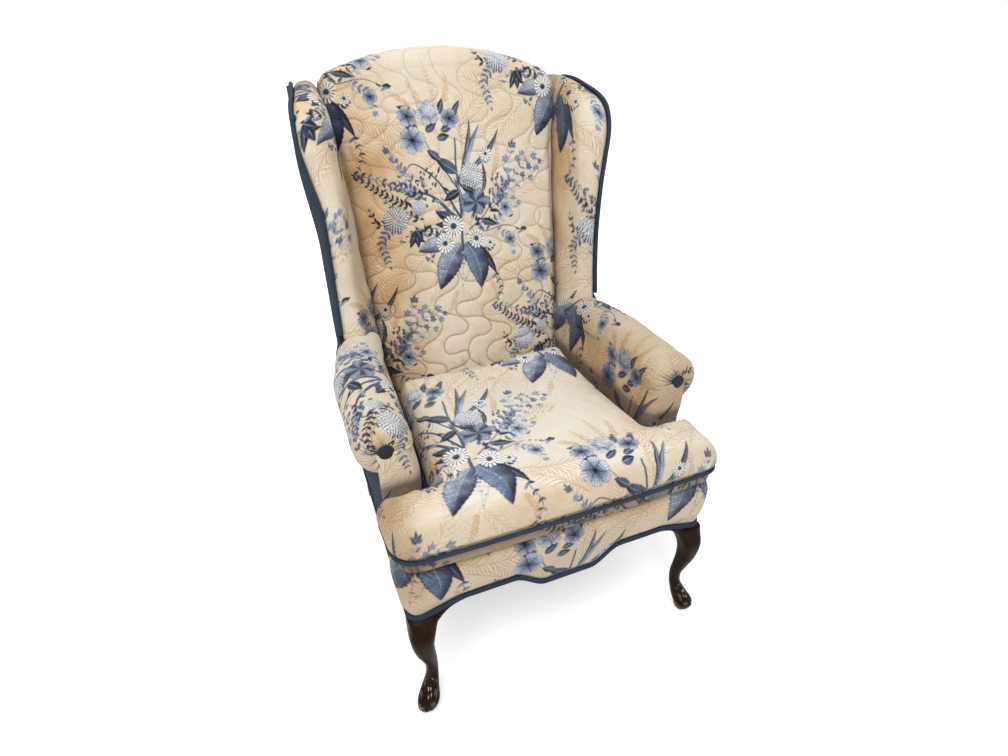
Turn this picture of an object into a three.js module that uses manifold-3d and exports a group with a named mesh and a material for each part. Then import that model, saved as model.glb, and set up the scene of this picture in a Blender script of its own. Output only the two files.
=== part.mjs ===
// Wingback armchair with a loose T-shaped seat cushion, in millimetres.
// +Z is up, the front faces -Y, and the origin is on the floor under the middle of the chair's box.
// Left and right are as seen from the front, so left is towards -X.
import * as THREE from 'three';
import { mergeVertices } from 'three/addons/utils/BufferGeometryUtils.js';
import Module from 'manifold-3d';

const wasm = await Module();
wasm.setup();

// Driving dimensions: the whole chair
const clearance = 0.3;
const overallDepth = 754;
const crestHeight = 1135;
const railUnderside = 264;
const railHeight = 70;
const railThickness = 26;
const frameHalfWidth = 300;
const crestRadius = 2 * frameHalfWidth + 55;
const sidePadding = 13;
const deckTop = 385;
const deckThickness = 35;

// Driving dimensions: back
const faceRake = 0.21;
const rearRake = 0.1656;
const backThickness = 103;
const backGaugeHeight = deckTop + 84;
const backHalfAtSeat = frameHalfWidth - 85;
const backHalfAtArms = frameHalfWidth - 74;
const backHalfAtShoulder = frameHalfWidth - 61;
const backHalfAtCrest = frameHalfWidth - 44;
const backCrown = 15;
const crestRollRadius = 38;
const crestRollDrop = 24;
const crestRailHeight = 66;
const crestRailDrop = 32;
const panelThickness = 3;
const postWidth = 36;
const postDepth = 40;
const postFootDepth = 33;
const rearLegRake = 128;
const channelCount = 8;
const channelDepth = 4;
const channelSwing = 13;
const backSpare = 1.02;

// Driving dimensions: wings
const wingReach = 54;
const wingInnerAtFront = frameHalfWidth - 45;
const wingNoseDepth = 22;
const wingBoardThickness = 20;
const wingBoardWidth = 42;
const wingWeltRadius = 4;
const wingRise = 10;
const wingPostDrop = 36;

// Driving dimensions: arms
const armTop = 599;
const rollRadius = 50;
const rollRearRadius = 45;
const rollCentreFront = frameHalfWidth - 5;
const rollCentreRear = frameHalfWidth - 35;
const rollBendFrom = 0;
const rollSwell = 6;
const rollRimRadius = 24;
const rollPleats = 14;
const pleatDepth = 1.6;
const armSetBack = 115;
const armFaceAtFront = frameHalfWidth - 62;
const armPostWidth = 30;
const armFrameInner = frameHalfWidth - armPostWidth;
const armPostDepth = 40;
const armRailHeight = 26;
const armRailOverhang = 22;
const armUnderside = armTop - 96;
const buttonRadius = 15;
const buttonDish = 7;

// Driving dimensions: seat cushion
const cushionOverhang = 30;
const cushionBulge = 16;
const cushionThickness = 93;
const cushionCrown = 14;
const cushionEarHalf = frameHalfWidth + 28;
const cushionWeltHeight = 33;
const cushionWeltRadius = 5.5;
const cushionCornerRadius = 52;
const notchRadius = 10;
const backCornerRadius = 34;
const earCornerRadius = 28;
const cushionBow = 5;
const zipEndGap = 12;
const zipLength = 2 * (backHalfAtSeat - backCornerRadius - zipEndGap);
const zipHeight = 8;
const zipTapeThickness = 1.5;
const sliderLength = 14;

// Driving dimensions: front border, bands and legs
const borderCornerRadius = 26;
const shelfDepth = 46;
const bandHeight = 13;
const bandDrop = 8;
const bandRise = 23;
const borderSwell = 12;
const lobeDrop = 35;
const lobeHalf = 48;
const lobeBlend = 66;
const kneeHalf = 29;
const legPostSize = 44;
const ankleHalf = 12.2;
const footHalf = 21;
const glideRadius = 11;
const glideThickness = 3;
const kneeReturnLength = 32;
const kneeReturnDrop = 36;
const kneeReturnLap = 14;
const kneeReturnThickness = 24;

// Driving dimensions: springs, webbing and blocks
const springCount = 5;
const springWire = 3.5;
const springWidth = 46;
const springBends = 17;
const springSpread = frameHalfWidth * 0.63;
const webbingWidth = 50;
const webbingThickness = 2;
const webbingCount = 5;
const webbingBase = 130;
const lowerRailRise = 20;
const lowerRailHeight = 60;
const blockHeight = 48;

// Planes that follow from the driving dimensions
const frontMost = -overallDepth / 2;
const rearMost = overallDepth / 2;
const weltFrontY = frontMost + cushionWeltRadius;
const borderFaceY = frontMost + cushionOverhang;
const armFrontY = borderFaceY + armSetBack;
const postFaceY = armFrontY + 7;
const borderEnd = postFaceY + 8;
const railTop = railUnderside + railHeight;
const bandUnderside = railUnderside - bandDrop;
const bandTop = bandUnderside + bandHeight;
const sideOuter = frameHalfWidth + sidePadding;
const frontRailFace = borderFaceY + sidePadding;
const legPostRear = frontRailFace + legPostSize;
const rollCentreZ = armTop - rollRadius;
const deckUnderside = deckTop - deckThickness;
const cushionTop = deckTop + cushionThickness;
const postInner = frameHalfWidth - postWidth;
const shoulderHeight = crestHeight - crestRollDrop;

const rearLine = (z) => rearMost - (shoulderHeight - z) * rearRake;
const postRear = (z) => rearLine(z) - panelThickness - clearance;
const postFront = (z) => postRear(z) - postDepth;
const faceLine = (z) => rearLine(backGaugeHeight) - backThickness + (z - backGaugeHeight) * faceRake;
const crestLine = (x) => crestHeight - crestRadius + Math.sqrt(crestRadius ** 2 - x ** 2);
const crestEndRollZ = crestLine(backHalfAtCrest) - crestRollRadius;
const wingFrontY = faceLine(armTop) - wingReach;
const wingTopZ = crestLine(frameHalfWidth) + wingRise;
const wingPostTop = wingTopZ - wingPostDrop;

const materials = {
  floral: new THREE.MeshStandardMaterial({ color: '#d9c6a8', roughness: 0.95, metalness: 0 }),
  navy: new THREE.MeshStandardMaterial({ color: '#46597a', roughness: 0.95, metalness: 0 }),
  welt: new THREE.MeshStandardMaterial({ color: '#2d3b53', roughness: 0.95, metalness: 0 }),
  walnut: new THREE.MeshStandardMaterial({ color: '#2d1d15', roughness: 0.35, metalness: 0 }),
  beech: new THREE.MeshStandardMaterial({ color: '#c79f6b', roughness: 0.7, metalness: 0 }),
  jute: new THREE.MeshStandardMaterial({ color: '#a98b5c', roughness: 1, metalness: 0 }),
  cambric: new THREE.MeshStandardMaterial({ color: '#1c1c1e', roughness: 1, metalness: 0 }),
  steel: new THREE.MeshStandardMaterial({ color: '#9a9da1', roughness: 0.4, metalness: 1 }),
  nylon: new THREE.MeshStandardMaterial({ color: '#2a2521', roughness: 0.6, metalness: 0 }),
};

const chair = new THREE.Group();

function add(name, geometry, material) {
  const mesh = new THREE.Mesh(geometry, material.clone());
  mesh.name = name;
  chair.add(mesh);
}

// The same piece on both sides, made for +X and mirrored for -X
function addPair(name, geometry, material) {
  add(`${name}_right`, geometry, material);
  add(`${name}_left`, mirrored(geometry), material);
}

function mirrored(geometry) {
  const copy = geometry.clone();
  copy.applyMatrix4(new THREE.Matrix4().makeScale(-1, 1, 1));
  const index = copy.getIndex().array;
  for (let i = 0; i < index.length; i += 3) {
    [index[i], index[i + 1]] = [index[i + 1], index[i]];
  }
  return copy;
}

const mix = (a, b, t) => a + (b - a) * t;
const ease = (t) => {
  const s = Math.min(1, Math.max(0, t));
  return s * s * (3 - 2 * s);
};

// Value at x on straight lines through [x, value] pairs
function along(pairs, x) {
  for (let i = 1; i < pairs.length; i++) {
    if (x <= pairs[i][0] || i === pairs.length - 1) {
      const t = (x - pairs[i - 1][0]) / (pairs[i][0] - pairs[i - 1][0]);
      return mix(pairs[i - 1][1], pairs[i][1], Math.min(1, Math.max(0, t)));
    }
  }
  return pairs[0][1];
}

// Faces that close a ring, wound along it or against it
function capFaces(ring, first, alongRing) {
  const normal = new THREE.Vector3();
  ring.forEach((p, i) => {
    const q = ring[(i + 1) % ring.length];
    normal.x += (p[1] - q[1]) * (p[2] + q[2]);
    normal.y += (p[2] - q[2]) * (p[0] + q[0]);
    normal.z += (p[0] - q[0]) * (p[1] + q[1]);
  });
  normal.normalize();
  const other = Math.abs(normal.z) > 0.7 ? new THREE.Vector3(1, 0, 0) : new THREE.Vector3(0, 0, 1);
  const u = new THREE.Vector3().crossVectors(other, normal).normalize();
  const v = new THREE.Vector3().crossVectors(normal, u);
  const flat = ring.map((p) => {
    const point = new THREE.Vector3(...p);
    return new THREE.Vector2(point.dot(u), point.dot(v));
  });
  const faces = THREE.ShapeUtils.triangulateShape(flat, []);

  // A point on a straight run of the ring may be left out of the faces, and splits the one beside it
  const used = new Set(faces.flat());
  const count = ring.length;
  for (let i = 0; i < count; i++) {
    if (!used.has(i)) {
      let [a, b] = [i, i];
      while (!used.has(a)) a = (a + count - 1) % count;
      while (!used.has(b)) b = (b + 1) % count;
      const at = faces.findIndex((face) => face.includes(a) && face.includes(b));
      const swap = (from) => faces[at].map((k) => (k === from ? i : k));
      faces.splice(at, 1, swap(b), swap(a));
      used.add(i);
    }
  }
  const areaOf = (face) => THREE.ShapeUtils.area(face.map((i) => flat[i]));
  const total = faces.reduce((sum, face) => sum + areaOf(face), 0);
  const kept = total > 0 === alongRing;
  return faces.flatMap(([a, b, c]) => (kept ? [a, b, c] : [a, c, b]).map((i) => i + first));
}

// Solid skinned over rings with equal numbers of points: flat ends, or run round to the first ring
function loft(rings, closed = false) {
  const count = rings[0].length;
  const last = rings.length - 1;
  const index = [];
  for (let i = 0; i < (closed ? rings.length : last); i++) {
    const next = (i + 1) % rings.length;
    for (let j = 0; j < count; j++) {
      const k = (j + 1) % count;
      const corners = [i * count + j, i * count + k, next * count + k, next * count + j];
      index.push(corners[0], corners[1], corners[2], corners[0], corners[2], corners[3]);
    }
  }
  if (!closed) {
    index.push(...capFaces(rings[0], 0, false));
    index.push(...capFaces(rings[last], last * count, true));
  }
  return outward(rings.flat(2), index);
}

function outward(position, index) {
  const at = (i) => new THREE.Vector3().fromArray(position, i * 3);
  let volume = 0;
  for (let i = 0; i < index.length; i += 3) {
    volume += at(index[i]).dot(at(index[i + 1]).cross(at(index[i + 2])));
  }
  if (volume < 0) {
    index.reverse();
  }
  const geometry = new THREE.BufferGeometry();
  geometry.setAttribute('position', new THREE.Float32BufferAttribute(position, 3));
  geometry.setIndex(index);
  return geometry;
}

// Outline points [a, b] carried along one axis between two places
function prism(outline, axis, from, to) {
  const place = {
    x: (at) => ([a, b]) => [at, a, b],
    y: (at) => ([a, b]) => [a, at, b],
    z: (at) => ([a, b]) => [a, b, at],
  }[axis];
  return loft([outline.map(place(from)), outline.map(place(to))]);
}

function block(x0, x1, y0, y1, z0, z1) {
  return prism([[x0, y0], [x1, y0], [x1, y1], [x0, y1]], 'z', z0, z1);
}

function toSolid(geometry) {
  const bare = new THREE.BufferGeometry();
  bare.setAttribute('position', geometry.getAttribute('position').clone());
  bare.setIndex([...geometry.getIndex().array]);
  const merged = mergeVertices(bare, 1e-4);
  const vertProperties = Float32Array.from(merged.getAttribute('position').array);
  const triVerts = Uint32Array.from(merged.getIndex().array);
  return new wasm.Manifold(new wasm.Mesh({ numProp: 3, vertProperties, triVerts }));
}

function toGeometry(solid) {
  const mesh = solid.getMesh();
  const geometry = new THREE.BufferGeometry();
  geometry.setAttribute('position', new THREE.Float32BufferAttribute([...mesh.vertProperties], 3));
  geometry.setIndex([...mesh.triVerts]);
  return geometry;
}

const join = (first, ...rest) => toGeometry(rest.reduce((a, b) => a.add(toSolid(b)), toSolid(first)));
const cut = (body, ...tools) => toGeometry(tools.reduce((a, b) => a.subtract(toSolid(b)), toSolid(body)));

// Round tube along a list of points, each [x, y, z]
function tube(points, radius, sides, closed = false) {
  const path = points.map((p) => new THREE.Vector3(...p));
  const count = path.length;
  let side = null;
  const rings = path.map((p, i) => {
    const before = closed ? path[(i + count - 1) % count] : path[Math.max(0, i - 1)];
    const after = closed ? path[(i + 1) % count] : path[Math.min(count - 1, i + 1)];
    const tangent = after.clone().sub(before).normalize();
    if (side === null) {
      side = Math.abs(tangent.z) > 0.9 ? new THREE.Vector3(0, 1, 0) : new THREE.Vector3(0, 0, 1);
    }
    side = side.sub(tangent.clone().multiplyScalar(side.dot(tangent))).normalize();
    const across = new THREE.Vector3().crossVectors(tangent, side);
    return Array.from({ length: sides }, (_, j) => {
      const angle = ((j + 0.5) / sides) * 2 * Math.PI;
      const out = side.clone().multiplyScalar(Math.cos(angle)).addScaledVector(across, Math.sin(angle));
      return p.clone().addScaledVector(out, radius).toArray();
    });
  });
  return loft(rings, closed);
}

// Half width of the back between the wings, as [height, half width] pairs
const backWidths = [
  [backGaugeHeight, backHalfAtSeat],
  [armTop, backHalfAtArms],
  [mix(armTop, shoulderHeight, 0.65), backHalfAtShoulder],
  [crestEndRollZ, backHalfAtCrest],
];
const backHalf = (z) => along(backWidths, z);

// Underside of the front border and its rail: rises from the corners, with a centre lobe that drops
function borderUnderside(x) {
  const away = Math.abs(x);
  const rise = bandRise * ease((sideOuter - away) / 55);
  return bandUnderside + rise - lobeDrop * (1 - ease((away - lobeHalf) / lobeBlend));
}

// Seat frame
function seatFrame() {
  const frontRail = () => {
    const half = frameHalfWidth - legPostSize - clearance;
    const lower = Array.from({ length: 25 }, (_, i) => mix(-half, half, i / 24));
    const outline = lower.map((x) => [x, borderUnderside(x) + 3]);
    outline.push([half, railTop], [-half, railTop]);
    return prism(outline, 'y', frontRailFace, frontRailFace + railThickness);
  };
  add('front_seat_rail', frontRail(), materials.beech);
  const rearRailY = postRear(railUnderside) - 4;
  const rearHalf = postInner - clearance;
  const rear = block(-rearHalf, rearHalf, rearRailY - railThickness, rearRailY, railUnderside, railTop);
  add('rear_seat_rail', rear, materials.beech);
  const sideOutline = [
    [legPostRear + clearance, railUnderside],
    [legPostRear + clearance, railTop],
    [postFront(railTop) - clearance, railTop],
    [postFront(railUnderside) - clearance, railUnderside],
  ];
  const sideInner = frameHalfWidth - railThickness;
  addPair('side_rail', prism(sideOutline, 'x', sideInner, frameHalfWidth), materials.beech);

  // Corner blocks glued and screwed into the four inner corners
  const reach = 72;
  const blockBase = railUnderside + 12;
  const innerX = sideInner - clearance;
  const postX = frameHalfWidth - legPostSize - clearance;
  const frontY = frontRailFace + railThickness + clearance;
  const postY = legPostRear + clearance;
  const frontOutline = [[innerX - reach, frontY], [postX, frontY], [postX, postY], [innerX, postY]];
  frontOutline.push([innerX, frontY + reach]);
  const backY = rearRailY - railThickness - clearance;
  const backPostX = postInner - clearance;
  const backPostY = postFront(railUnderside) - clearance;
  const rearOutline = [[innerX - reach, backY], [backPostX, backY], [backPostX, backPostY]];
  rearOutline.push([innerX, backPostY], [innerX, backY - reach]);
  for (const [name, outline] of [['front', frontOutline], ['rear', rearOutline]]) {
    const solid = prism(outline, 'z', blockBase, blockBase + blockHeight);
    addPair(`corner_block_${name}`, solid, materials.beech);
  }
}

// Cabriole front legs with their knee returns, and a glide under each foot
function frontLegs() {
  const post = [frameHalfWidth - legPostSize / 2, frontRailFace + legPostSize / 2];
  const kneeOut = [8, -13];
  const footOut = [26, -34];
  const ring = (z, out, half, roundness, toes = 0) => {
    const centre = [post[0] + out[0], post[1] + out[1]];
    return Array.from({ length: 16 }, (_, i) => {
      const angle = ((i + 0.5) / 16) * 2 * Math.PI;
      const [c, s] = [Math.cos(angle), Math.sin(angle)];
      const square = (Math.abs(c) ** roundness + Math.abs(s) ** roundness) ** (-1 / roundness);
      const toe = 1 + toes * Math.cos(3 * (angle + Math.PI / 4));
      return [centre[0] + half * c * square * toe, centre[1] + half * s * square * toe, z];
    });
  };
  const knee = bandUnderside - clearance;
  const tall = knee / 256;
  const stations = [
    [glideThickness + clearance, footOut, footHalf * 0.62, 2.1, 0.02],
    [10, [26, -35], footHalf * 0.8, 2.2, 0.05],
    [22, [25, -39], footHalf * 0.92, 2.2, 0.07],
    [36 * tall, [21, -38], footHalf * 0.98, 2.2, 0.06],
    [56 * tall, [14, -29], footHalf * 0.8, 2.2, 0.02],
    [84 * tall, [6, -21.5], ankleHalf, 2.1],
    [112 * tall, [5, -20], ankleHalf, 2.2],
    [140 * tall, [9, -25], mix(ankleHalf, kneeHalf, 0.16), 2.4],
    [166 * tall, [14, -29.5], mix(ankleHalf, kneeHalf, 0.34), 2.6],
    [192 * tall, [17, -31], mix(ankleHalf, kneeHalf, 0.5), 2.8],
    [216 * tall, [16, -29], mix(ankleHalf, kneeHalf, 0.69), 3],
    [238 * tall, [12, -20], mix(ankleHalf, kneeHalf, 0.85), 3.8],
    [knee, kneeOut, kneeHalf, 5],
  ];
  const rings = stations.map((s) => ring(...s));
  const body = loft(rings);
  const postX = frameHalfWidth - legPostSize;
  const tenon = block(postX, frameHalfWidth, frontRailFace, legPostRear, knee, railTop);
  const coreInset = 6;
  const core = block(postX + coreInset * 2.5, frameHalfWidth - coreInset, frontRailFace + coreInset,
    legPostRear - coreInset * 4, knee - 20, railTop - 5);
  const leg = join(body, tenon, core);
  addPair('front_leg', leg, materials.walnut);

  // A return is a curved bracket that fills the corner between the knee and the border's underside
  const returnOutline = (kneeEdge) => {
    const points = [];
    for (let i = 0; i <= 6; i++) {
      const t = i / 6;
      points.push([kneeEdge - kneeReturnLength * (1 - t), knee - 3 - kneeReturnDrop * t ** 2.2]);
    }
    points.push([kneeEdge, knee], [kneeEdge - kneeReturnLength, knee]);
    return points;
  };
  const frontEdge = post[0] + kneeOut[0] - kneeHalf + kneeReturnLap;
  const grown = stations.map(([z, out, half, ...rest]) => ring(z, out, half + clearance, ...rest));
  grown.push(grown[grown.length - 1].map(([x, y, z]) => [x, y, z + 5]));
  const grownLeg = loft(grown);
  const faceFront = post[1] + kneeOut[1] - kneeHalf + 5;
  const frontReturn = prism(returnOutline(frontEdge), 'y', faceFront, faceFront + kneeReturnThickness);
  addPair('knee_return_front', cut(frontReturn, grownLeg), materials.walnut);
  const sideEdge = -(post[1] + kneeOut[1] + kneeHalf) + kneeReturnLap;
  const sideOutline = returnOutline(sideEdge).map(([a, z]) => [-a, z]);
  const faceSide = post[0] + kneeOut[0] + kneeHalf - 5;
  const sideReturn = prism(sideOutline, 'x', faceSide - kneeReturnThickness, faceSide);
  addPair('knee_return_side', cut(sideReturn, grownLeg), materials.walnut);

  const disc = (x, y) => prism(Array.from({ length: 16 }, (_, i) => {
    const angle = (i / 16) * 2 * Math.PI;
    return [x + glideRadius * Math.cos(angle), y + glideRadius * Math.sin(angle)];
  }), 'z', 0, glideThickness);
  addPair('glide_front', disc(post[0] + footOut[0], post[1] + footOut[1]), materials.nylon);
  const rearFootY = legLine(glideThickness) - postFootDepth / 2;
  addPair('glide_rear', disc(frameHalfWidth - postWidth / 2, rearFootY), materials.nylon);
}

// Rear face of the back post: along the back above the rail, and raked backwards below it
function legLine(z) {
  const below = Math.max(0, railUnderside - z) / railUnderside;
  return postRear(Math.max(z, railUnderside)) + rearLegRake * below ** 1.35;
}

function backFrame() {
  const postTop = wingPostTop;
  const heights = [glideThickness + clearance];
  for (let i = 1; i <= 5; i++) {
    heights.push(railUnderside * (i / 6));
  }
  heights.push(bandUnderside, railUnderside, postTop);
  const front = (z) => legLine(z) - mix(postFootDepth, postDepth, ease(z / railUnderside));
  const outline = heights.map((z) => [legLine(z), z]);
  outline.push(...heights.reverse().map((z) => [front(z), z]));
  addPair('back_post', prism(outline, 'x', postInner, frameHalfWidth), materials.walnut);

  // Rails that slope with the back between the posts
  const half = postInner - clearance;
  const slopedRail = (top, bottom) => loft(Array.from({ length: 13 }, (_, i) => {
    const x = mix(-half, half, i / 12);
    const [z1, z0] = [top(x), bottom(x)];
    return [
      [x, postFront(z0), z0], [x, postFront(z0) + railThickness, z0],
      [x, postFront(z1) + railThickness, z1], [x, postFront(z1), z1],
    ];
  }));
  const crestRailTop = (x) => crestLine(x) - crestRailDrop;
  add('crest_rail', slopedRail(crestRailTop, (x) => crestRailTop(x) - crestRailHeight), materials.beech);
  const lowerRail = (z) => loft([-half, half].map((x) => [
    [x, postFront(z), z], [x, postFront(z) + railThickness, z],
    [x, postFront(z + lowerRailHeight) + railThickness, z + lowerRailHeight],
    [x, postFront(z + lowerRailHeight), z + lowerRailHeight],
  ]));
  add('lower_back_rail', lowerRail(deckTop + lowerRailRise), materials.beech);

  // Jute webbing, woven: strips from post to post, crossed by two upright ones
  const from = deckTop + webbingBase;
  const to = crestRailTop(half) - crestRailHeight - 50;
  const band = (x0, x1, z0, z1, depth) => loft([x0, x1].map((x) => [
    [x, postFront(z0) + depth, z0], [x, postFront(z0) + depth + webbingThickness, z0],
    [x, postFront(z1) + depth + webbingThickness, z1], [x, postFront(z1) + depth, z1],
  ]));
  const strips = Array.from({ length: webbingCount }, (_, i) => {
    const z = mix(from, to, i / (webbingCount - 1));
    return band(-half, half, z - webbingWidth / 2, z + webbingWidth / 2, 3);
  });
  const uprights = [-0.4, 0.4].map((share) => {
    const x = share * half;
    const bottom = deckTop + lowerRailRise + lowerRailHeight + clearance;
    const top = crestRailTop(half) - crestRailHeight - clearance;
    return band(x - webbingWidth / 2, x + webbingWidth / 2, bottom, top, 3 + webbingThickness / 2);
  });
  add('back_webbing', join(...strips, ...uprights), materials.jute);
}

// Edge of a wing seen from the side: up the front, round the top corner and back to the rear panel.
// Each point is [y, z, out], where out is how far the wing stands out of the frame there.
const wingEdge = (() => {
  const level = (t) => mix(armTop, wingTopZ, t);
  const deep = (share) => mix(wingFrontY, rearLine(wingTopZ), share);
  const points = [
    [wingFrontY + 2, level(-0.12), 8],
    [wingFrontY, level(0), 8],
    [wingFrontY + 4, level(0.155), 6],
    [wingFrontY + 5, level(0.33), 4],
    [wingFrontY - 3, level(0.56), 4],
    [wingFrontY + 3, level(0.68), 14],
    [deep(0.05), level(0.81), 24],
    [deep(0.12), level(0.895), 23],
    [deep(0.24), level(0.935), 20],
    [deep(0.45), level(0.97), 12],
    [deep(0.68), level(0.996), 6],
    [deep(0.9), level(1), 3],
    [rearLine(wingTopZ), level(0.99), 3],
  ];
  const scaled = points.map(([y, z, out]) => new THREE.Vector3(y, z, frameHalfWidth + out));
  return new THREE.CatmullRomCurve3(scaled, false, 'centripetal');
})();

// The inner end of each section of a wing: up the post's front, then over its top to the rear
function wingRoot(t) {
  const postTop = wingPostTop + clearance;
  const bottom = wingEdge.getPoint(0).y;
  const corner = 0.86;
  if (t < corner) {
    const z = mix(bottom, postTop, t / corner);
    return [postFront(z) - clearance, z];
  }
  const s = (t - corner) / (1 - corner);
  return [mix(postFront(postTop) - clearance, postRear(postTop), s), postTop];
}

// Inner face of a wing: flush with the back behind its face, and spreading towards the front
function wingInner(y, z) {
  const half = backHalf(z) + clearance;
  const t = (faceLine(z) - y) / (faceLine(z) - wingFrontY);
  return mix(half, wingInnerAtFront, ease(t * 1.15));
}

function wingSections(steps) {
  return Array.from({ length: steps + 1 }, (_, i) => {
    const t = i / steps;
    const edge = wingEdge.getPoint(t);
    const root = wingRoot(t);
    const reach = Math.hypot(edge.x - root[0], edge.y - root[1]);
    const out = [(edge.x - root[0]) / reach, (edge.y - root[1]) / reach];
    return { t, edge: [edge.x, edge.y], outer: edge.z, root, out, reach };
  });
}

const wingBoardTop = () => mix(armTop, wingTopZ, 0.9) - 30;

// Upright board in the front of a wing, standing on the arm rail
function wingBoard(grow) {
  const boardFront = wingFrontY + 16;
  const foot = armUnderside + armRailHeight + clearance - (grow ? 30 : 0);
  const boardTop = wingBoardTop();
  return prism([
    [boardFront - grow, foot],
    [boardFront + wingBoardWidth + grow, foot],
    [boardFront + wingBoardWidth + grow, boardTop + grow],
    [boardFront - grow + 14, boardTop + grow],
    [boardFront - grow, boardTop - 60],
  ], 'x', frameHalfWidth - wingBoardThickness - 4 - grow, frameHalfWidth - 4 + grow);
}

function wings() {
  const sections = wingSections(22);
  const padRings = sections.map(({ t, edge, outer, root, out, reach }) => {
    const noseDepth = Math.min(wingNoseDepth, reach * 0.35);
    const at = (s, offset = 0) => {
      const y = mix(edge[0], root[0], s) + out[0] * offset;
      const z = mix(edge[1], root[1], s) + out[1] * offset;
      return [y, z];
    };
    const rise = 8 * ease((t - 0.72) / 0.25);
    const innerPoint = (s, offset = 0) => {
      const [y, z] = at(s, offset);
      return [wingInner(y, z), y, z];
    };
    const ring = [innerPoint(1), innerPoint(0.65, rise * 0.35), innerPoint(0.34, rise * 0.66)];
    const lip = outer - wingWeltRadius - clearance;
    const start = innerPoint(0, rise - noseDepth);
    ring.push(start);
    for (const u of [0.14, 0.38, 0.64, 0.88]) {
      const round = 1 - Math.abs(2 * u - 1) ** 2.4;
      const setBack = mix(rise - noseDepth, -3, ease(u * 1.1));
      const [y, z] = at(0, mix(setBack, 3 + rise * (1 - u) * 0.8, round));
      ring.push([mix(start[0], lip, u), y, z]);
    }
    const [lipY, lipZ] = at(0, -Math.min(wingWeltRadius + 2, reach * 0.2));
    ring.push([lip, lipY, lipZ]);
    const inside = (s) => mix(outer, frameHalfWidth, s) - 0.5;
    const [wallY, wallZ] = at(0, -Math.min(wingWeltRadius + 9, reach * 0.32));
    ring.push([outer - 1, wallY, wallZ], [inside(0.5), ...at(0.5)], [inside(1), ...root]);
    return ring;
  });
  const postTopZ = wingPostTop;
  const boardTop = wingBoardTop();
  const railFrom = wingFrontY + 16 + wingBoardWidth + clearance;
  const railEnd = (z, grow) => postFront(z) - clearance + grow * 10;
  const topRail = (grow) => prism([
    [railFrom - grow * 2, boardTop - 40 - grow], [railEnd(postTopZ - 60, grow), postTopZ - 60 - grow],
    [railEnd(postTopZ - 20, grow), postTopZ - 20 + grow * 4], [railFrom - grow * 2, boardTop - 2 + grow],
  ], 'x', frameHalfWidth - wingBoardThickness - 4 - grow, frameHalfWidth - 4 + grow);
  addPair('wing_post', wingBoard(0), materials.beech);
  addPair('wing_top_rail', topRail(0), materials.beech);
  const behind = behindPosts(0, frameHalfWidth + 40, postTopZ + clearance);
  const railSpaceTop = crestLine(backHalfAtCrest - 10) - crestRailDrop + clearance;
  const railSpace = behindPosts(0, postInner + clearance, railSpaceTop);
  const around = [armBody(clearance), ...backZone(), backPanel(clearance)];
  const pad = cut(loft(padRings), ...around, wingBoard(clearance), topRail(clearance), behind, railSpace);
  addPair('inside_wing', pad, materials.floral);

  // Outer skin of the wing, from the welt back to the rear panel, down to the arm
  const skin = sections.filter(({ t }) => t > 0.04 && t < 0.94).map(({ t, edge, outer, out }) => {
    const z = mix(armTop, wingTopZ - 8, (t - 1 / 11) / (9 / 11));
    const hem = wingWeltRadius + 1.5;
    const from = [edge[0] - out[0] * hem, edge[1] - out[1] * hem];
    const rear = [rearLine(z), z];
    const face = (share, depth) => {
      const crown = share === 0.5 ? 1.5 : 0;
      const x = mix(outer, frameHalfWidth, share) + clearance + depth + crown;
      return [x, mix(from[0], rear[0], share), mix(from[1], rear[1], share)];
    };
    const inner = [face(0, 0), face(0.5, 0), face(1, 0)];
    return [...inner, face(1, panelThickness), face(0.5, panelThickness), face(0, panelThickness)];
  });
  const below = block(frameHalfWidth - 5, sideOuter + 30, postFront(armTop), rearMost + 20,
    armUnderside, armTop + clearance);
  const padSpace = pad.clone().translate(clearance, 0, 0);
  const weltPath = sections.filter(({ t }) => t > 0.09).map(({ edge, outer }) => {
    return [outer + 0.6, edge[0], edge[1]];
  });
  addPair('wing_welt', tube(weltPath, wingWeltRadius, 6), materials.welt);
  const weltSpace = tube(weltPath, wingWeltRadius + clearance, 6);
  addPair('outside_wing', cut(loft(skin), armBody(clearance), below, padSpace, weltSpace), materials.navy);
}

// Inner face of an arm: the seat is wider between the arms at the front than at the back
function armFaceX(y) {
  const t = (y - postFaceY) / (faceLine(deckTop) - postFaceY);
  return mix(armFaceAtFront, backHalfAtSeat + 1, Math.min(1, t));
}

// Space behind the front of the posts, up to the given height and between two places across
function behindPosts(x0, x1, top) {
  const low = railUnderside;
  const face = (z) => postFront(z) - clearance;
  const outline = [[face(low), low], [face(top), top], [rearMost + 50, top], [rearMost + 50, low]];
  return prism(outline, 'x', x0, x1);
}

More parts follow.
